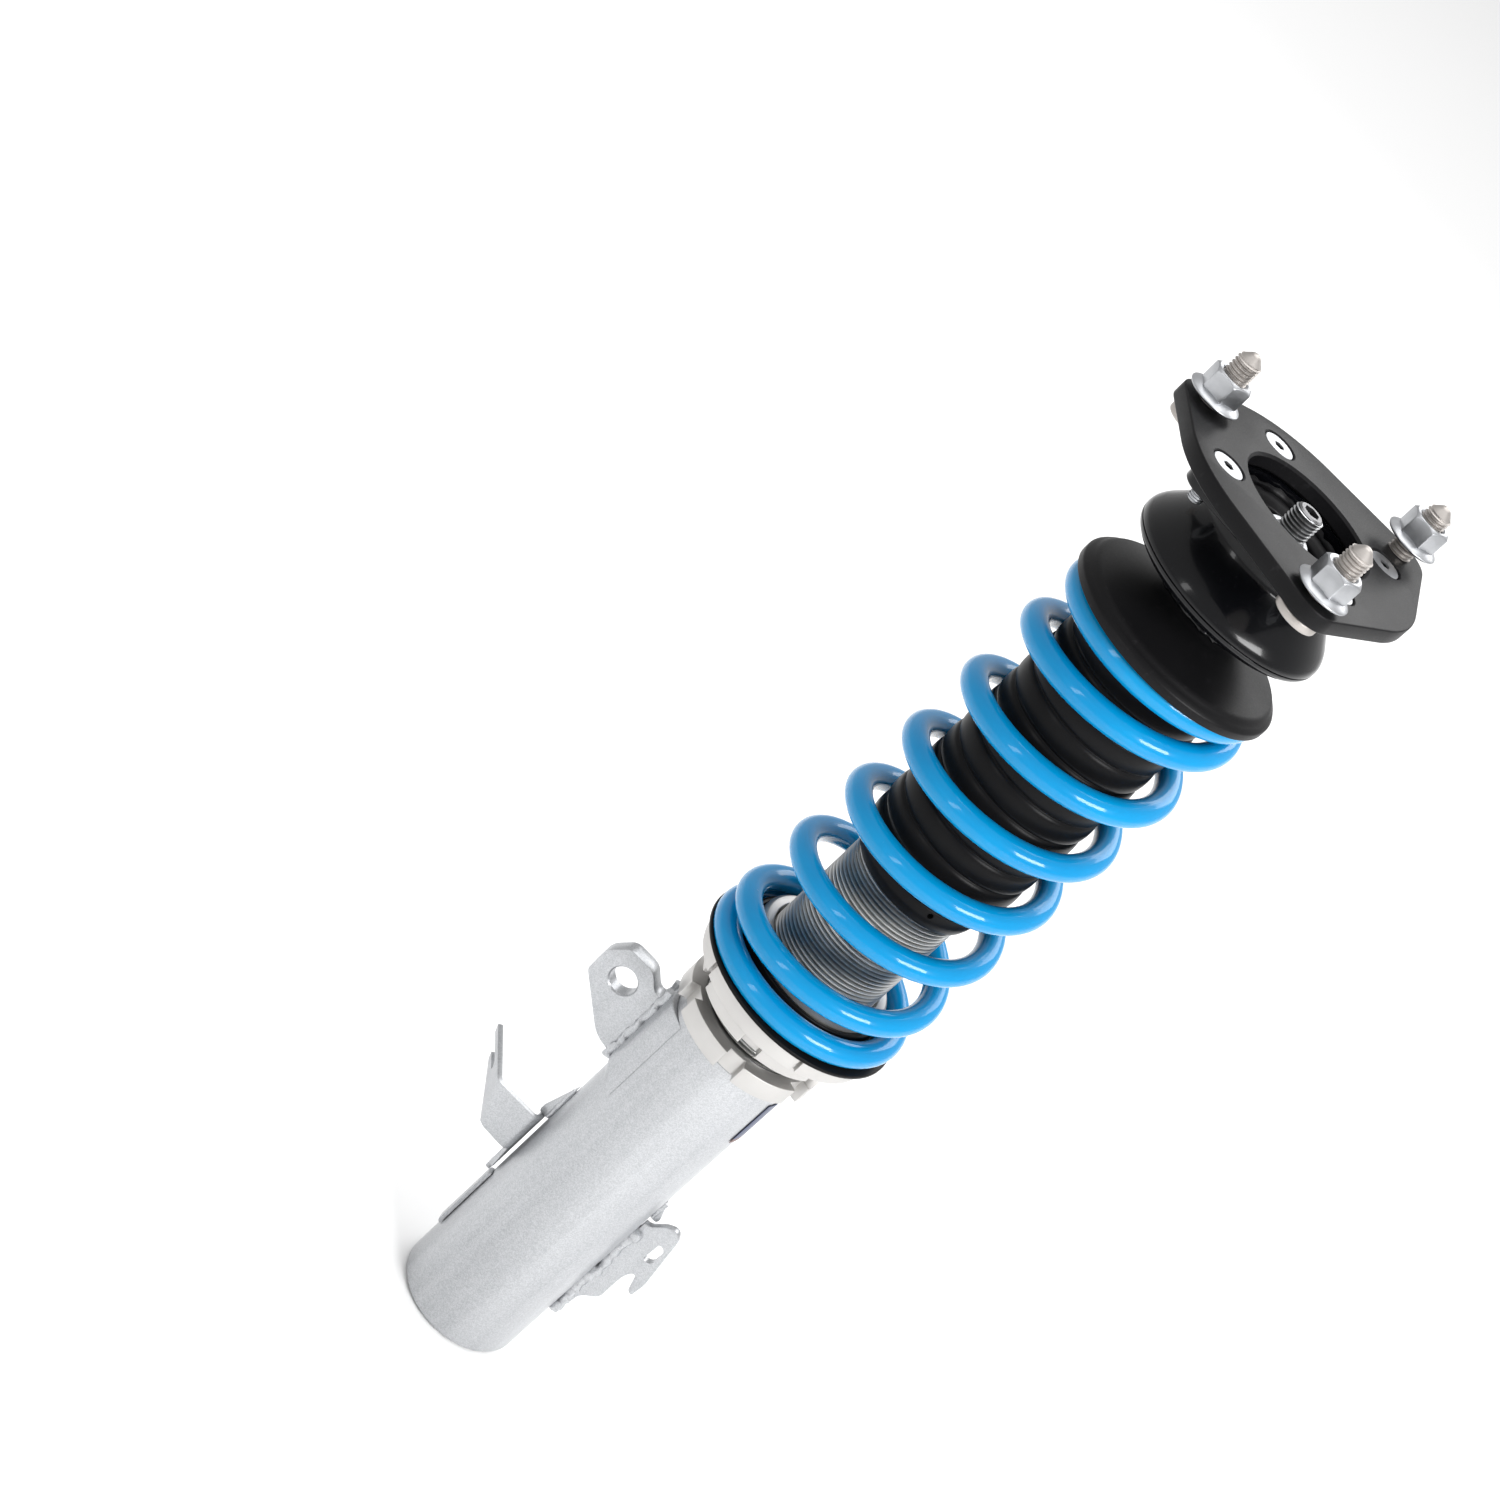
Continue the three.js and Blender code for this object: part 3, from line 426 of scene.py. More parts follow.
class Finish:
    """A material made of nodes on the piece's own coordinates."""

    def __init__(self, name, **fixed):
        self.material = bpy.data.materials.new(name)
        self.material.use_nodes = True
        self.tree = self.material.node_tree
        self.shader = self.tree.nodes["Principled BSDF"]
        for socket, value in fixed.items():
            self.shader.inputs[socket.replace("_", " ")].default_value = value
        self.place = self.node("ShaderNodeTexCoord", output="Object")

    def node(self, kind, settings=None, inputs=(), output=0):
        made = self.tree.nodes.new(kind)
        for setting, value in (settings or {}).items():
            setattr(made, setting, value)
        for socket, value in (inputs.items() if isinstance(inputs, dict) else enumerate(inputs)):
            if isinstance(value, Number):
                self.tree.links.new(value.socket, made.inputs[socket])
            else:
                made.inputs[socket].default_value = value
        return Number(self, made.outputs[output])

    def grain(self, scale, detail=2.0, stretch=(1, 1, 1), roughness=0.5):
        """Cloudy noise, scale features per metre, with an optional stretch."""
        place = self.node("ShaderNodeMapping", {}, {"Vector": self.place, "Scale": stretch})
        return self.node("ShaderNodeTexNoise", {}, {
            "Vector": place, "Scale": scale, "Detail": detail, "Roughness": roughness})

    def cells(self, scale, output="Distance"):
        return self.node("ShaderNodeTexVoronoi", {}, {"Vector": self.place, "Scale": scale}, output)

    def axis(self, part):
        """X, Y or Z of the piece's own coordinates."""
        return self.node("ShaderNodeSeparateXYZ", {}, [self.place], part)

    def radius(self):
        """Distance from the strut's axis."""
        flat = self.node("ShaderNodeVectorMath", {"operation": "MULTIPLY"}, [self.place, (1, 1, 0)])
        return self.node("ShaderNodeVectorMath", {"operation": "LENGTH"}, [flat], "Value")

    def mix(self, share, first, second):
        """A colour between two colours."""
        return self.node("ShaderNodeMix", {"data_type": "RGBA"}, {0: share, 6: first, 7: second}, 2)

    def bump(self, height, distance, strength=1.0):
        return self.node("ShaderNodeBump", {}, {
            "Height": height, "Distance": distance * MM, "Strength": strength})

    def wear(self, **channels):
        for socket, value in channels.items():
            self.tree.links.new(value.socket, self.shader.inputs[socket.replace("_", " ")])
        return self.material


def sleeve_paint():
    finish = Finish("sleeve_paint", Metallic=0.85, IOR=1.5)
    flake = finish.cells(2600, "Color")
    sparkle = finish.node("ShaderNodeSeparateColor", {}, [flake], 0)
    cloud = finish.grain(28, 3)
    # painted reflection: this axis-stretched noise paints light and dark bands of reflected strip light into
    # the sleeve's base colour; it also varies the roughness
    painted_reflection_streak = finish.grain(95, 3, (1, 1, 0.035))
    tone = finish.mix(
        sparkle * 0.34 + cloud * 0.16 + painted_reflection_streak * 0.5, (0.25, 0.26, 0.275, 1), (0.68, 0.69, 0.705, 1))
    skin = finish.grain(900, 2) * 0.6 + sparkle * 0.4
    return finish.wear(
        Base_Color=tone, Roughness=finish.grain(60, 4) * 0.12 + sparkle * 0.12 + painted_reflection_streak * 0.12 + 0.20,
        Normal=finish.bump(skin, 0.035, 0.7))


def bare_aluminium():
    finish = Finish("bare_aluminium", Metallic=0.85)
    lines = finish.grain(2400, 3, (0.02, 0.02, 1))
    stain = finish.grain(45, 4)
    tone = finish.mix(stain, (0.46, 0.45, 0.437, 1), (0.60, 0.59, 0.577, 1))
    return finish.wear(
        Base_Color=tone, Roughness=lines * 0.14 + stain * 0.12 + 0.27, Normal=finish.bump(lines, 0.02, 0.6))


def zinc_body():
    finish = Finish("zinc_body", Metallic=1.0)
    # painted shade: the base colour darkens with distance from the axis, from the thread crests down into
    # the roots
    depth = finish.radius().step(0.0238, 0.0251)
    stain = finish.grain(70, 4)
    tone = finish.mix(depth * 0.75 + stain * 0.25, (0.13, 0.13, 0.13, 1), (0.60, 0.605, 0.60, 1))
    scratch = finish.grain(900, 2, (1, 1, 0.1))
    return finish.wear(
        Base_Color=tone, Roughness=stain * 0.12 + scratch * 0.10 + 0.20,
        Normal=finish.bump(scratch, 0.01, 0.5))


def spring_blue():
    finish = Finish("spring_blue", IOR=1.5, Specular_IOR_Level=0.1, Coat_Weight=0.5, Coat_Roughness=0.07)
    peel = finish.grain(260, 2)
    drift = finish.grain(30, 3)
    tone = finish.mix(drift, (0.0, 0.205, 0.46, 1), (0.0, 0.275, 0.57, 1))
    return finish.wear(
        Base_Color=tone, Roughness=peel * 0.08 + drift * 0.08 + 0.16, Normal=finish.bump(peel, 0.05, 0.35))


def satin_black():
    finish = Finish("satin_black", IOR=1.5, Specular_IOR_Level=0.13)
    texture = finish.grain(1500, 3)
    cloud = finish.grain(40, 4)
    rub = finish.grain(210, 5, (1, 1, 1), 0.65).step(0.60, 0.72)
    tone = finish.mix(rub * 0.4 + cloud * 0.3, (0.0035, 0.0035, 0.004, 1), (0.020, 0.0195, 0.021, 1))
    return finish.wear(
        Base_Color=tone, Roughness=cloud * 0.14 + texture * 0.18 + 0.26,
        Normal=finish.bump(texture, 0.05, 0.5))


def gloss_black():
    finish = Finish("gloss_black", IOR=1.5, Specular_IOR_Level=0.15, Coat_Weight=0.3, Coat_Roughness=0.08)
    wave = finish.grain(120, 3)
    dust = finish.grain(700, 4, (1, 1, 1), 0.6).step(0.66, 0.80)
    tone = finish.mix(dust * 0.3, (0.002, 0.0022, 0.003, 1), (0.03, 0.03, 0.032, 1))
    return finish.wear(
        Base_Color=tone, Roughness=wave * 0.15 + dust * 0.2 + 0.14, Normal=finish.bump(wave, 0.16, 0.4))


def rubber():
    finish = Finish("rubber", IOR=1.48, Specular_IOR_Level=0.09)
    skin = finish.grain(1300, 3)
    bloom = finish.grain(55, 5, (1, 1, 1), 0.6)
    tone = finish.mix(bloom, (0.003, 0.003, 0.0034, 1), (0.010, 0.0098, 0.0102, 1))
    return finish.wear(
        Base_Color=tone, Roughness=bloom * 0.16 + skin * 0.08 + 0.22, Normal=finish.bump(skin, 0.04, 0.4))


def foam():
    finish = Finish("foam", IOR=1.4)
    pores = finish.cells(1400)
    tone = finish.mix(pores, (0.03, 0.028, 0.026, 1), (0.09, 0.085, 0.075, 1))
    return finish.wear(Base_Color=tone, Roughness=pores * 0.2 + 0.7, Normal=finish.bump(pores, 0.1, 0.7))


def plated(name, dark, light, polish, grain_scale):
    """Zinc, chrome or ground steel, with the cloudy tone of plating."""
    finish = Finish(name, Metallic=1.0)
    cloud = finish.grain(160, 4)
    lines = finish.grain(grain_scale, 3)
    tone = finish.mix(cloud, dark, light)
    return finish.wear(
        Base_Color=tone, Roughness=cloud * 0.12 + lines * 0.14 + polish,
        Normal=finish.bump(lines, 0.015, 0.5))


def white_zinc():
    """Bright plating, with painted shade down in the screws' key sockets."""
    finish = Finish("white_zinc", Metallic=1.0)
    height = finish.axis("Z")
    # painted shade: a band of height at the screws' key sockets is painted near black
    socket = height.step(0.4950, 0.4951) * (1 - height.step(0.4980, 0.4985))
    cloud = finish.grain(160, 4)
    lines = finish.grain(900, 3)
    plating = finish.mix(cloud, (0.36, 0.37, 0.385, 1), (0.58, 0.59, 0.61, 1))
    tone = finish.mix(socket, plating, (0.05, 0.05, 0.052, 1))
    return finish.wear(
        Base_Color=tone, Roughness=cloud * 0.12 + lines * 0.14 + 0.24,
        Normal=finish.bump(lines, 0.015, 0.5))


def hard_chrome():
    """Ground and chromed up to the shoulder; above it the cut end is left as turned steel, with painted
    shade darkening it inward of the thread crests, in the thread roots and the key socket.
    """
    finish = Finish("hard_chrome", Metallic=1.0)
    cut = finish.axis("Z").step(0.4762, 0.4768)
    # painted shade: near black inward of the thread crests on the cut end, in the thread roots and the key
    # socket
    depth = 1 - finish.radius().step(0.0052, 0.0059)
    lines = finish.grain(1500, 3)
    # stain: the chrome's cloudy stain below the shoulder, and the painted shade of roots and socket on the
    # cut end above it
    stain = finish.grain(160, 4) * (1 - cut) + cut * depth
    tone = finish.mix(stain, (0.62, 0.63, 0.64, 1), (0.16, 0.16, 0.165, 1))
    return finish.wear(
        Base_Color=tone, Roughness=lines * 0.12 + cut * 0.2 + 0.06, Normal=finish.bump(lines, 0.015, 0.5))


def slide_band():
    finish = Finish("slide_band", IOR=1.4)
    weave = finish.grain(1200, 2)
    tone = finish.mix(weave, (0.08, 0.035, 0.015, 1), (0.15, 0.07, 0.03, 1))
    return finish.wear(Base_Color=tone, Roughness=weave * 0.2 + 0.4, Normal=finish.bump(weave, 0.02))


def decal_blue():
    finish = Finish("decal_blue", IOR=1.5, Specular_IOR_Level=0.2, Coat_Weight=0.1, Coat_Roughness=0.1)
    side = finish.axis("X")
    drift = finish.grain(90, 3)
    # painted light: the navy is painted lighter on the part of the band facing +X, towards the key lamp,
    # with a random drift mixed in
    painted_side_light_and_drift = side.step(0.016, 0.028) * 0.7 + drift * 0.3
    navy = finish.mix(painted_side_light_and_drift, (0.004, 0.008, 0.025, 1), (0.008, 0.022, 0.085, 1))
    stripe = 1 - finish.axis("Z").step(0.1592, 0.1596)
    tone = finish.mix(stripe, navy, (0.09, 0.028, 0.02, 1))
    return finish.wear(Base_Color=tone, Roughness=drift * 0.15 + 0.25, Normal=finish.bump(drift, 0.01))


FINISHES = {
    "sleeve_paint": sleeve_paint(),
    "bare_aluminium": bare_aluminium(),
    "zinc_body": zinc_body(),
    "spring_blue": spring_blue(),
    "satin_black": satin_black(),
    "gloss_black": gloss_black(),
    "rubber": rubber(),
    "foam": foam(),
    "white_zinc": white_zinc(),
    "warm_zinc": plated("warm_zinc", (0.36, 0.335, 0.315, 1), (0.55, 0.52, 0.495, 1), 0.34, 1100),
    "hard_chrome": hard_chrome(),
    "bearing_steel": plated("bearing_steel", (0.50, 0.51, 0.52, 1), (0.66, 0.67, 0.68, 1), 0.12, 1200),
    "shim_steel": plated("shim_steel", (0.32, 0.33, 0.34, 1), (0.50, 0.51, 0.52, 1), 0.2, 1000),
    "slide_band": slide_band(),
    "decal_blue": decal_blue(),
}


# ---------------------------------------------------------------- knuckle sleeve
EAR_HOLE = (-47.8, 0, 169.5)
FOOT_MIDDLE, FOOT_HALF = 197, 29
FOOT_ROOT, FOOT_LOW, FOOT_TAPER = 28.6, 136.5, 7


def make_sleeve():
    tube = turned([
        (25.5, 0), (27.2, 0, 0.5), (28.5, 1.3, 0.8), (28.5, 190.4, 0.5), (26.1, 190.4, 0.3), (25.5, 189.7),
    ], 144)
    settle(shown("sleeve_tube", tube), "knuckle_sleeve", "sleeve_paint", "sleeve_tube")
    cap = turned([(0, 0), (25.1, 0, 0.5), (25.1, 6, 0.4), (0, 6)], 96)
    settle(shown("sleeve_base_cap", cap), "knuckle_sleeve", "sleeve_paint", "sleeve_base_cap")

    ear = slab([
        (-30.2, 139), (-33, 141.6, 1.5), (-40, 142.6, 4), (-61.2, 161.9, 1.5), (-61.2, 174.1, 2.5),
        (-54.6, 182.7, 2.5),
        (-42.4, 182.7, 2.5), (-34.6, 174.6, 4), (-30.9, 178.5, 1), (-30.2, 184),
    ], 7.7, upright(), 0.6)
    foot = turned([
        (28.7, 137.6), (31.2, 137.6), (31.2, 140), (31.2, 142), (31.2, 144), (31.2, 184, 0.9),
        (28.7, 184)], 32, 168, 58)
    for vert in foot.verts:
        aside = abs(math.degrees(math.atan2(vert.co.y, vert.co.x)) % 360 - FOOT_MIDDLE) / FOOT_HALF
        share = (1 - smooth(aside * 1.02)) * smooth((vert.co.z / MM - FOOT_LOW) / FOOT_TAPER)
        vert.co.xy = vert.co.xy.normalized() * (
            FOOT_ROOT * MM + (vert.co.xy.length - FOOT_ROOT * MM) * share)
    welds = [foot]
    for side, seed in ((-1, 1.3), (1, 4.1)):
        path = [(-31.2 - 0.4 * math.sin(i * 0.7), side * 4.3, 140 + i * 1.15) for i in range(38)]
        welds.append(bead(path, 2.2, 0.12, seed=seed))
    hole = turned([(0, -6), (6.6, -6), (6.6, -3.85), (6, -3.2), (6, 3.2), (6.6, 3.85), (6.6, 6), (0, 6)], 48)
    bmesh.ops.transform(
        hole, verts=hole.verts,
        matrix=Matrix.Translation(up([EAR_HOLE])[0]) @ Matrix.Rotation(math.pi / 2, 4, "X"))
    settle(added(carved(shown("link_ear", ear), hole), *welds), "knuckle_sleeve", "sleeve_paint", "link_ear")

    hook = slab([
        (28.9, 29), (32.6, 37.5, 3), (32.9, 45, 3), (39.3, 51.3, 2.5), (39.1, 60), (39.2, 68.5, 3),
        (42, 73.2, 2.4),
        (44.8, 64, 1.2), (47.2, 63.2, 1.2), (47.9, 71.3, 2), (43.8, 99.4, 2.6), (40.6, 102.2, 2),
        (36.2, 100.3, 2.5),
        (31.2, 94, 1.5), (28.9, 94),
    ], 3.6, upright(), 0.45, 5)
    welds = []
    for y, seed in ((-2.2, 3.3), (2.2, 8.1)):
        path = [
            (29.6 + 0.7 * math.sin(i * 0.31), y - math.copysign(0.2, y), 31 + i * 1.3)
            for i in range(46)
        ]
        welds.append(bead(path, 2.5, 0.36, sides=14, seed=seed))
    slot = slab([
        (39.1, 80, 2.2), (43.2, 81.6, 1.6), (43.4, 90.8, 2.2), (39.6, 92.0, 1.6),
    ], 8, upright(), 0)
    bracket = added(carved(shown("hook_bracket", hook), slot), *welds)
    settle(bracket, "knuckle_sleeve", "sleeve_paint", "hook_bracket")

    left = slab([(-28.9, 95.6), (-33.3, 95.6, 0.8), (-33.9, 97.6, 0.8), (-28.9, 117.6)], 3, upright(), 0.4)
    joined(left, bead([(-29.4, -1.6, 96.5 + i) for i in range(20)], 1.0, 0.4, seed=6.4))
    settle(shown("stop_fin_left", left), "knuckle_sleeve", "sleeve_paint", "stop_fin_left")
    right = slab([(28.9, 95.6), (32.1, 95.6, 0.8), (32.7, 97.6, 0.8), (28.9, 107.6)], 3, upright(), 0.4)
    joined(right, bead([(29.4, -1.6, 96.5 + i) for i in range(11)], 1.0, 0.4, seed=2.9))
    right_fin = shown("stop_fin_right", moved(right, turn=5.2))
    settle(right_fin, "knuckle_sleeve", "sleeve_paint", "stop_fin_right")

    rib = turned([(28.9, 23), (30.5, 24.2, 0.8), (30.5, 58.8, 0.8), (28.9, 60)], 6, 184, 8)
    joined(rib, bead([
        (-29.2 * math.cos(math.radians(3.2)), -29.2 * math.sin(math.radians(3.2)), 24 + i) for i in range(36)
    ], 0.9, 0.4, seed=7.7))
    settle(shown("locating_rib", rib), "knuckle_sleeve", "sleeve_paint", "locating_rib")
    band = turned([(28.85, 157), (29.05, 157), (29.05, 182), (28.85, 182)], 40, -24, 82)
    settle(shown("info_band", band), "knuckle_sleeve", "decal_blue", "info_band")


def make_hose_bracket():
    """Folded from one strip: a slotted arm, a face to the front, a rounded bend and a leg on the sleeve."""
    strip = bmesh.new()
    fold_top, fold_foot = Vector((-54.3, -6.85, 95.5)), Vector((-46.4, -6.85, 74))
    down = (fold_foot - fold_top).normalized()
    along = (Vector((down.z, 0, -down.x)) * 0.42 + Vector((0, 0.908, 0))).normalized()
    columns = [
        (fold_top + along * 40, fold_top + along * 40 + down * 10.4),
        (fold_top + along * 32, fold_top + along * 32 + down * 13),
        (fold_top + along * 18, fold_top + along * 18 + down * 17.4),
        (fold_top + along * 2.2, fold_foot + along * 2.2),
        (fold_top + Vector((0.9, 0.4, 0)), fold_foot + Vector((0.9, 0.4, 0))),
        (fold_top + Vector((2.4, 0, 0)), fold_foot + Vector((2.4, 0, 0))),
        (Vector((-34.4, -6.85, 95.5)), Vector((-34.6, -6.85, 73.6))),
    ]
    for degrees in (20, 45, 70, 90):
        angle = math.radians(degrees)
        x, y = -34.4 + 4.3 * math.sin(angle), -2.55 - 4.3 * math.cos(angle)
        columns.append((Vector((x, y, 95.5)), Vector((x, y, 73.6 if degrees < 60 else 61))))
    columns += [
        (Vector((-30.1, 0.4, 95.5)), Vector((-30.1, 0.4, 61))),
        (Vector((-30.1, 2, 95.5)), Vector((-30.1, 2, 54.5))),
        (Vector((-30.1, 6.6, 94)), Vector((-30.1, 6.6, 54))),
        (Vector((-30.1, 8, 92)), Vector((-30.1, 8, 55.5))),
    ]
    rows = [[strip.verts.new(point * MM) for point in column] for column in columns]
    for near, far in zip(rows, rows[1:]):
        strip.faces.new((near[0], near[1], far[1], far[0]))
    bmesh.ops.subdivide_edges(
        strip, edges=[edge for edge in strip.edges if not edge.is_boundary], cuts=5, use_grid_fill=True)
    bmesh.ops.recalc_face_normals(strip, faces=strip.faces)
    bmesh.ops.solidify(strip, geom=strip.faces[:], thickness=2.3 * MM)
    tidy(strip)
    soften(strip, 0.3, 60)
    bracket = shown("hose_bracket", strip)
    frame_of_arm = Matrix((
        (along.x, down.x, along.cross(down).x, fold_top.x * MM),
        (along.y, down.y, along.cross(down).y, fold_top.y * MM),
        (along.z, down.z, along.cross(down).z, fold_top.z * MM),
        (0, 0, 0, 1),
    ))
    slot = slab([
        (18, 4.2, 2), (45, 4.2), (45, 14), (32, 14, 0.3), (32, 8.7, 0.5), (18, 8.7, 2),
    ], 12, frame_of_arm, 0)
    return carved(bracket, slot)


# ---------------------------------------------------------------- adjusters
def make_adjusters():
    ring = turned([
        (25.5, 191.0), (25.8, 190.7), (29.3, 190.7), (29.3, 199.5), (26.3, 199.5), (25.5, 198.7),
    ], 144, 27)
    raise_sectors(ring, 29.3, 4.1, outside_notches(34.5, 60, 7.5))
    soften(ring, 0.45, 40, 3)
    settle(shown("sleeve_lock_ring", ring), "lock_ring", "bare_aluminium", "sleeve_lock_ring")

    collar = turned([
        (25.5, 206.4), (25.9, 206), (29.3, 206), (29.3, 215.5), (28.8, 215.5), (28.8, 216), (39.6, 216),
        (39.6, 224.3), (31, 224.3), (31, 239.3), (29.5, 240.8), (26.3, 240.8), (25.5, 240),
    ], 240, 1)
    raise_sectors(collar, 29.3, 4.1, outside_notches(34, 60, 7.5))
    raise_sectors(collar, 39.6, 1.8, outside_notches(10, 72, 1.5))
    soften(collar, 0.45, 40, 3)
    settle(shown("spring_collar", collar), "collar", "bare_aluminium", "spring_collar")

    isolator = turned([
        (31.4, 224.6), (45.3, 224.6, 0.5), (45.3, 226.3, 0.5), (34.4, 226.3, 0.6), (33.6, 227.6, 0.6),
        (33.6, 235.5, 0.7), (31.4, 235.5, 0.7),
    ], 96)
    settle(shown("lower_isolator", isolator), "spring_perch", "rubber", "lower_isolator")


# ---------------------------------------------------------------- coil spring
WIRE = 10.6
COIL_RADIUS = 39.8
END_RADIUS = 38.7
COIL_LOW, COIL_HIGH = 226.6, 432.9
COIL_TURNS = 7.825
COIL_START = 130
STEPS_PER_TURN = 60
CLOSED_TURNS, OPENING_TURNS = 0.95, 0.3
CLOSED_PITCH = WIRE + 0.3


def coil_rise(turns, pitch):
    """How far the wire has climbed from an end: closed at first, then opening to its full pitch."""
    t = min(max((turns - CLOSED_TURNS) / OPENING_TURNS, 0), 1)
    opened = OPENING_TURNS * (t ** 3 - t ** 4 / 2) + max(0, turns - CLOSED_TURNS - OPENING_TURNS)
    return CLOSED_PITCH * turns + (pitch - CLOSED_PITCH) * opened


def make_spring():
    low, high = COIL_LOW + 0.3, COIL_HIGH - 0.3
    open_turns = COIL_TURNS - 2 * (CLOSED_TURNS + OPENING_TURNS) + OPENING_TURNS
    pitch = CLOSED_PITCH + (high - low - CLOSED_PITCH * COIL_TURNS) / open_turns

    def height(turns):
        if turns < COIL_TURNS / 2:
            return low + coil_rise(turns, pitch)
        return high - coil_rise(COIL_TURNS - turns, pitch)

    def radius(turns):
        return END_RADIUS + (COIL_RADIUS - END_RADIUS) * smooth((COIL_TURNS - turns - 0.5) / 0.7)

    wire = bmesh.new()
    steps = round(STEPS_PER_TURN * COIL_TURNS)
    each = COIL_TURNS / steps
    start = Matrix.Rotation(math.radians(COIL_START), 4, "Z")
    spot = Matrix.Translation((radius(0) * MM, 0, height(0) * MM)) @ Matrix.Rotation(math.pi / 2, 4, "X")
    bmesh.ops.create_circle(wire, segments=24, radius=WIRE / 2 * MM, cap_ends=True, matrix=start @ spot)
    section = wire.verts[:] + wire.edges[:]
    for step in range(steps):
        now, then = step * each, (step + 1) * each
        section = bmesh.ops.spin(
            wire, geom=section, cent=(0, 0, 0), axis=(0, 0, 1),
            dvec=(0, 0, (height(then) - height(now)) * MM),
            angle=2 * math.pi * each, steps=1, use_duplicate=False,
        )["geom_last"]
        around = math.radians(COIL_START) + 2 * math.pi * then
        out = Vector((math.cos(around), math.sin(around), 0)) * (radius(then) - radius(now)) * MM
        bmesh.ops.translate(wire, verts=verts_of(section), vec=out)
    bmesh.ops.edgeloop_fill(wire, edges=edges_of(section))
    tidy(wire)
    for level, above in ((COIL_LOW, True), (COIL_HIGH, False)):
        rim = trim(wire, level, above)
        bmesh.ops.edgeloop_fill(wire, edges=rim)
    tidy(wire)
    piece = settle(shown("coil_spring", wire), "spring_perch", "spring_blue", "coil_spring")
    squash_share(COIL_HIGH - COIL_LOW)
    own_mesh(piece)


def squash_share(length):
    """The share of a piece's length that is left when the damper is closed."""
    joints = frame["record"]["behaviour"]["joints"]
    stroke = next(joint for joint in joints if joint["name"] == "damper_stroke")
    return 1 + stroke["range_m"][0] / (length * MM)


# ---------------------------------------------------------------- damper
BODY_CREST, BODY_BORE, BODY_THREAD_LOW = 25.1, 22, 160
BOOT_LOW, BOOT_HIGH, BOOT_FOLDS = 301.3, 432.6, 13


def make_damper():
    body = thread(BODY_CREST, 1.15, 2, BODY_THREAD_LOW, 303, 96, bore=BODY_BORE)
    turned([
        (22, 14), (24.6, 14, 0.6), (25.1, 14.8), (25.1, 160.4), (24.2, 160.8), (22, 160.8),
    ], 96, mesh=body)
    settle(shown("damper_body", body, 25), "damper", "zinc_body", "damper_body")

    cuff = turned([
        (25.5, 291.8), (26.9, 291.8, 0.5), (27.9, 294.6, 0.6), (28.3, 296.4, 0.5), (28.3, 301, 0.7),
        (25.5, 301),
    ], 96)
    vent = turned([(0, -4), (1.25, -4), (1.25, 4), (0, 4)], 24)
    angle = math.radians(296)
    facing = Vector((math.cos(angle), math.sin(angle), 0))
    bmesh.ops.transform(
        vent, verts=vent.verts,
        matrix=Matrix.Translation(facing * 0.028 + UP * 0.2985)
        @ facing.to_track_quat("Z", "Y").to_matrix().to_4x4())
    settle(carved(shown("boot_cuff", cuff), vent), "damper", "rubber", "boot_cuff")

    low, high = BOOT_LOW, BOOT_HIGH
    step = (high - low) / BOOT_FOLDS
    outside = [(27.9, low, 0.4)]
    for fold in range(BOOT_FOLDS):
        base = low + step * fold
        swell = 31.0 if fold == 0 else 31.6
        outside += [
            (swell - 0.6, base + step * 0.10, 0.8), (swell, base + step * 0.5, 2.4),
            (swell - 0.6, base + step * 0.90, 0.8),
        ]
        if fold + 1 < BOOT_FOLDS:
            outside.append((30.0, base + step, 0.25))
    outside.append((28.6, high, 0.4))
    boot = turned([*outside, (27.2, high), (27.2, low)], 96)
    piece = settle(shown("dust_boot", boot, 40), "damper", "rubber", "dust_boot")
    squash_share(high - low)
    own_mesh(piece)

    rod = turned([
        (0, 193.6), (6, 193.6, 0.6), (6, 222), (10, 222, 0.5), (10, 454.2, 0.4), (7, 454.2),
        (7, 476.4, 0.3), (5.4, 476.6),
        (5.4, 500.2), (4.6, 500.7), (0, 500.7),
    ], 64)
    socket = flats(turned([(0, 494.5), (5, 494.5), (5, 503), (0, 503)], 48), 6)
    cut = thread(6, 0.72, 1.5, 476.8, 499.9, 64, bore=5.2)
    finished = added(carved(shown("piston_rod", rod, 25), socket, sharp=25), cut)
    settle(finished, "top_mount", "hard_chrome", "piston_rod")


# ---------------------------------------------------------------- upper seat and mount
def make_upper_seat():
    seat = turned([
        (44.5, 431.7, 0.3), (45.4, 431.7, 0.3), (45.4, 434.9, 0.5), (44.3, 436.2, 0.6),
        (42.9, 437.2, 0.8), (41.6, 438.8, 1.6),
        (17.6, 446.0, 1.8), (16.0, 447.9, 0.6), (11, 447.9, 0.3), (11, 444.2), (16, 443.6, 1),
        (38.4, 436.6, 2),
        (40.2, 434.3), (44.5, 434.3),
    ], 120)
    settle(shown("upper_spring_seat", seat), "upper_seat", "satin_black", "upper_spring_seat")
    pad = turned([(33.9, 433.2), (43.8, 433.2, 0.3), (43.8, 434.0, 0.2), (33.9, 434.0)], 96)
    settle(shown("upper_isolator", pad), "upper_seat", "rubber", "upper_isolator")
    for name, body, inner, low in (
        ("bearing_lower_race", "upper_seat", 11, 448.2), ("bearing_upper_race", "top_mount", 7.5, 454.6),
    ):
        race = turned([
            (inner, low, 0.3), (17.5, low, 0.5), (17.5, low + 2.7, 0.5), (inner, low + 2.7, 0.3)], 64)
        settle(shown(name, race), body, "bearing_steel", name)


SCREW_ANGLES = (35, 125, 215, 305)
SCREW_CIRCLE = 39.5
STUDS = (("left", -51.5, 9.2, 11.2, 2.2), ("rear", 34.4, 42.2, 12.3, 6.0), ("front", 17.2, -53.2, 11.5, 2.2))
PLATE_LOW, PLATE_TOP = 492.8, 499.3


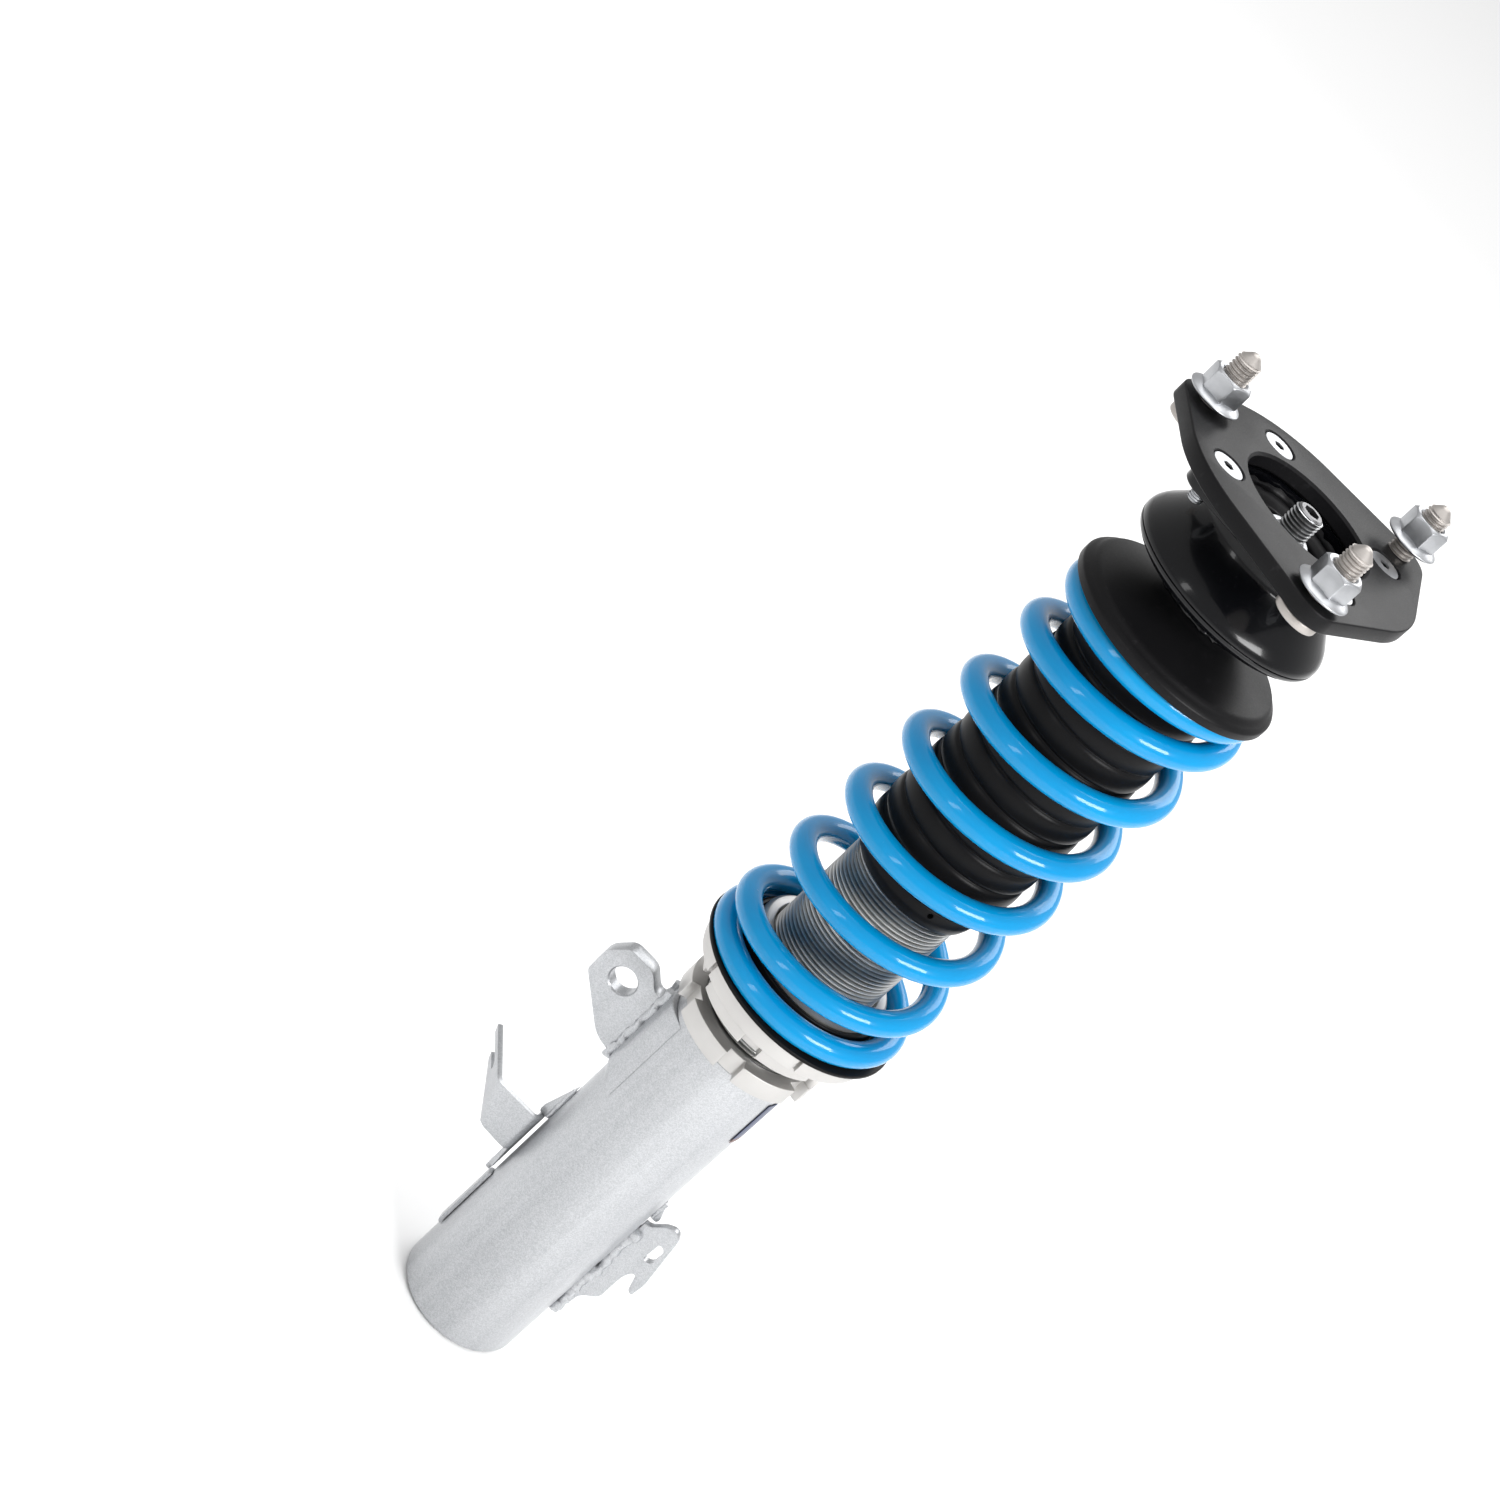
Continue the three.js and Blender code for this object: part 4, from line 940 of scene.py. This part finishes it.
def make_mount():
    shell = turned([
        (39.4, 461.2), (41.8, 461.2, 0.3), (41.7, 463.4, 1.2), (40.2, 466.3, 1.8), (31.0, 477.2, 2.4),
        (29.6, 480.2, 1.4),
        (29.6, 487.2), (27.2, 487.2), (27.2, 479.6, 1.2), (28.8, 476.2, 1.8), (38.0, 464.9, 1.2),
    ], 120)
    flange = hull_of_discs([(*on_circle(SCREW_CIRCLE, a), 8.0) for a in SCREW_ANGLES], 486.3, 492.5, 0.8)
    opening = turned([(0, 484), (27.2, 484), (27.2, 494), (0, 494)], 96)
    seam = [(*on_circle(29.9 + 0.3 * math.sin(i * 0.9), i * 4), 486.0) for i in range(90)]
    upper = carved(shown("mount_bowl_upper", flange), opening)
    upper = added(upper, shell, bead(seam, 1.3, 0.35, closed=True, seed=1.1))
    settle(upper, "top_mount", "gloss_black", "mount_bowl_upper")

    dish = turned([
        (39.4, 460.9), (41.8, 460.9, 0.3), (41.4, 459.2, 0.8), (39.2, 457.3, 1.4), (21.2, 450.6, 1.0),
        (20.4, 449.6, 0.4),
        (18.8, 449.6, 0.4), (18.8, 452.1), (20.4, 452.6), (37.6, 459.1, 0.8),
    ], 120)
    drips = [
        (*on_circle(22.6 + 0.5 * math.sin(i * 0.6) + 0.35 * math.sin(i * 2.3), i * 5), 450.9)
        for i in range(72)
    ]
    joined(dish, bead(drips, 1.1, 0.5, closed=True, seed=3.9))
    settle(shown("mount_bowl_lower", dish), "top_mount", "gloss_black", "mount_bowl_lower")

    bush = turned([
        (11.4, 462.5), (34.5, 462.5, 0.8), (35.6, 465.2, 0.8), (26.5, 473.6, 1.6), (26.5, 476.0, 0.8),
        (18, 475.2, 1), (11.4, 476.0),
    ], 96)
    settle(shown("mount_bush", bush), "top_mount", "rubber", "mount_bush")
    keeper = turned([
        (19.6, 484.2, 0.4), (26.7, 484.0), (26.7, 489.0, 0.5), (22.2, 488.0, 1.2), (19.6, 485.8, 0.6)], 96)
    lumps = [(*on_circle(25.4 + 0.4 * math.sin(i * 0.8), i * 4.5), 489.0) for i in range(80)]
    joined(keeper, bead(lumps, 1.5, 0.55, closed=True, seed=9.2))
    settle(shown("bush_retainer", keeper), "top_mount", "satin_black", "bush_retainer")
    washer = turned([(6.4, 477.0, 0.2), (15.9, 477.0, 0.5), (15.9, 479.3, 0.5), (6.4, 479.3, 0.2)], 72)
    settle(shown("rod_washer", washer), "top_mount", "white_zinc", "rod_washer")
    nut = hex_nut(18, 479.6, 489.6, 6.1)
    soften(nut, 0.25, 45)
    settle(shown("rod_nut", nut), "top_mount", "white_zinc", "rod_nut")


def make_plate():
    discs = [(-1.5, 0, 53.2)] + [(x, y, lobe) for _, x, y, lobe, _ in STUDS]
    plate = shown("top_plate", hull_of_discs(discs, PLATE_LOW, PLATE_TOP, 0.7, 96))
    tools = [turned([
        (0, 490), (28.9, 490), (28.9, 492.8), (28, 493.7), (28, 498.3), (29, 499.3), (29, 502),
        (0, 502)], 120)]
    for angle in SCREW_ANGLES:
        x, y = on_circle(SCREW_CIRCLE, angle)
        tools.append(moved(turned([
            (0, 491), (3.6, 491), (3.6, 494.6), (6.95, 498.6), (6.95, 498.9), (7.4, 499.3),
            (7.4, 501), (0, 501)], 48), x, y))
    settle(carved(plate, *tools), "top_mount", "satin_black", "top_plate")


def make_fasteners():
    for name, x, y, _, lift in STUDS:
        tip = PLATE_TOP + 24.1
        stud = turned([
            (0, 488.5), (8.7, 488.5, 0.8), (8.7, 491.9, 0.6), (5.2, 492.5), (4.3, 493),
            (4.3, tip - 4.4), (0, tip - 4.4)], 64)
        thread(5, 0.8, 1.5, PLATE_TOP - 6, tip - 3.4, 48, mesh=stud)
        turned([
            (0, tip - 5), (4.3, tip - 5), (4.35, tip - 3.2), (1.5, tip - 0.2, 0.8), (0, tip),
        ], 48, mesh=stud)
        piece = shown(f"mount_stud_{name}", moved(stud, x, y), 25)
        settle(piece, "top_mount", "warm_zinc", f"mount_stud_{name}")
        low = PLATE_TOP + lift
        nut = hex_nut(15, low + 1.8, low + 11, 5.05)
        soften(nut, 0.25, 45)
        turned([
            (5.1, low + 0.3), (6, low), (10.6, low, 0.4), (11.1, low + 0.9, 0.4),
            (9.4, low + 1.9, 0.5), (7.2, low + 3.0), (5.1, low + 3.0),
        ], 72, mesh=nut)
        piece = shown(f"flange_nut_{name}", moved(nut, x, y, turn=17))
        settle(piece, "top_mount", "white_zinc", f"flange_nut_{name}")
    for index, angle in enumerate(SCREW_ANGLES):
        x, y = on_circle(SCREW_CIRCLE, angle)
        screw = turned([
            (0, 481.3), (2.3, 481.3, 0.3), (2.45, 481.9), (2.45, 494.6), (3, 494.8), (6.55, 498.4),
            (6.55, 498.7, 0.15), (6.3, 498.9), (0, 498.9)], 48)
        socket = flats(turned([(0, 496.2), (3.4, 496.2), (3.4, 500), (0, 500)], 48), 4)
        piece = shown(f"flange_screw_{index + 1}", moved(screw, x, y), 25)
        carved(piece, moved(socket, x, y, turn=20 * index), sharp=25)
        piece = added(piece, moved(thread(3, 0.5, 1, 481.8, 494.4, 32), x, y))
        settle(piece, "top_mount", "white_zinc", f"flange_screw_{index + 1}")


make_sleeve()
settle(make_hose_bracket(), "knuckle_sleeve", "sleeve_paint", "hose_bracket")
make_adjusters()
make_spring()
make_damper()
make_upper_seat()
make_mount()
make_plate()
make_fasteners()

slots = {entry["node"]: entry["material_slot"] for entry in frame["record"]["subparts"]}
for node, piece in frame["nodes"].items():
    if not piece.hide_render:
        piece.data.materials.clear()
        piece.data.materials.append(FINISHES[slots[node]])


# ---------------------------------------------------------------- studio
def lamp(name, place, aim, size, power):
    light = bpy.data.lights.new(name, "AREA")
    light.shape = "RECTANGLE"
    light.size, light.size_y = size
    light.energy = power
    holder = bpy.data.objects.new(name, light)
    holder.location = place
    holder.rotation_euler = (Vector(aim) - Vector(place)).to_track_quat("-Z", "Y").to_euler()
    holder.visible_camera = False
    bpy.context.scene.collection.objects.link(holder)


def studio():
    floor = bmesh.new()
    bmesh.ops.create_circle(
        floor, cap_ends=True, radius=FLOOR_RADIUS, segments=64,
        matrix=Matrix.Translation((0, 0, -0.0005)))
    ground = shown("floor", floor)
    ground.data.materials.append(Finish("pale_floor", Roughness=0.9, Base_Color=FLOOR_TONE).material)
    lamp("key", (1.35, -1.05, 1.25), (0, 0, 0.25), (0.95, 0.65), 38)
    lamp("fill", (-1.0, -1.5, 1.0), (0, 0, 0.2), (0.25, 1.2), 5)
    lamp("back", (0.5, 1.7, 1.45), (0, 0, 0.4), (1.3, 0.7), 11)
    lamp("ceiling", (0, 1.5, 4.5), (0, 1.5, 0), (3.6, 3.6), 120)
    world = bpy.data.worlds.new("studio")
    world.use_nodes = True
    sky = world.node_tree.nodes["Background"]
    sky.inputs["Color"].default_value = (1, 1, 1, 1)
    sky.inputs["Strength"].default_value = WORLD_STRENGTH
    bpy.context.scene.world = world
    bpy.context.scene.view_settings.view_transform = "Standard"

    tilt, roll = math.radians(CAMERA_TILT), math.radians(CAMERA_ROLL)
    level = Vector((1, 0, 0))
    rise = Vector((0, math.sin(tilt), math.cos(tilt)))
    ahead = Vector((0, math.cos(tilt), -math.sin(tilt)))
    right = level * math.cos(roll) + rise * math.sin(roll)
    above = rise * math.cos(roll) - level * math.sin(roll)
    lens = bpy.data.cameras.new("camera")
    lens.sensor_width = 36
    lens.lens = FOCAL_LENGTH
    lens.clip_end = 40
    camera = bpy.data.objects.new("camera", lens)
    turn = Matrix((right, above, -ahead)).transposed().to_4x4()
    camera.matrix_world = Matrix.Translation(CAMERA_PLACE) @ turn
    bpy.context.scene.collection.objects.link(camera)
    bpy.context.scene.camera = camera


studio()
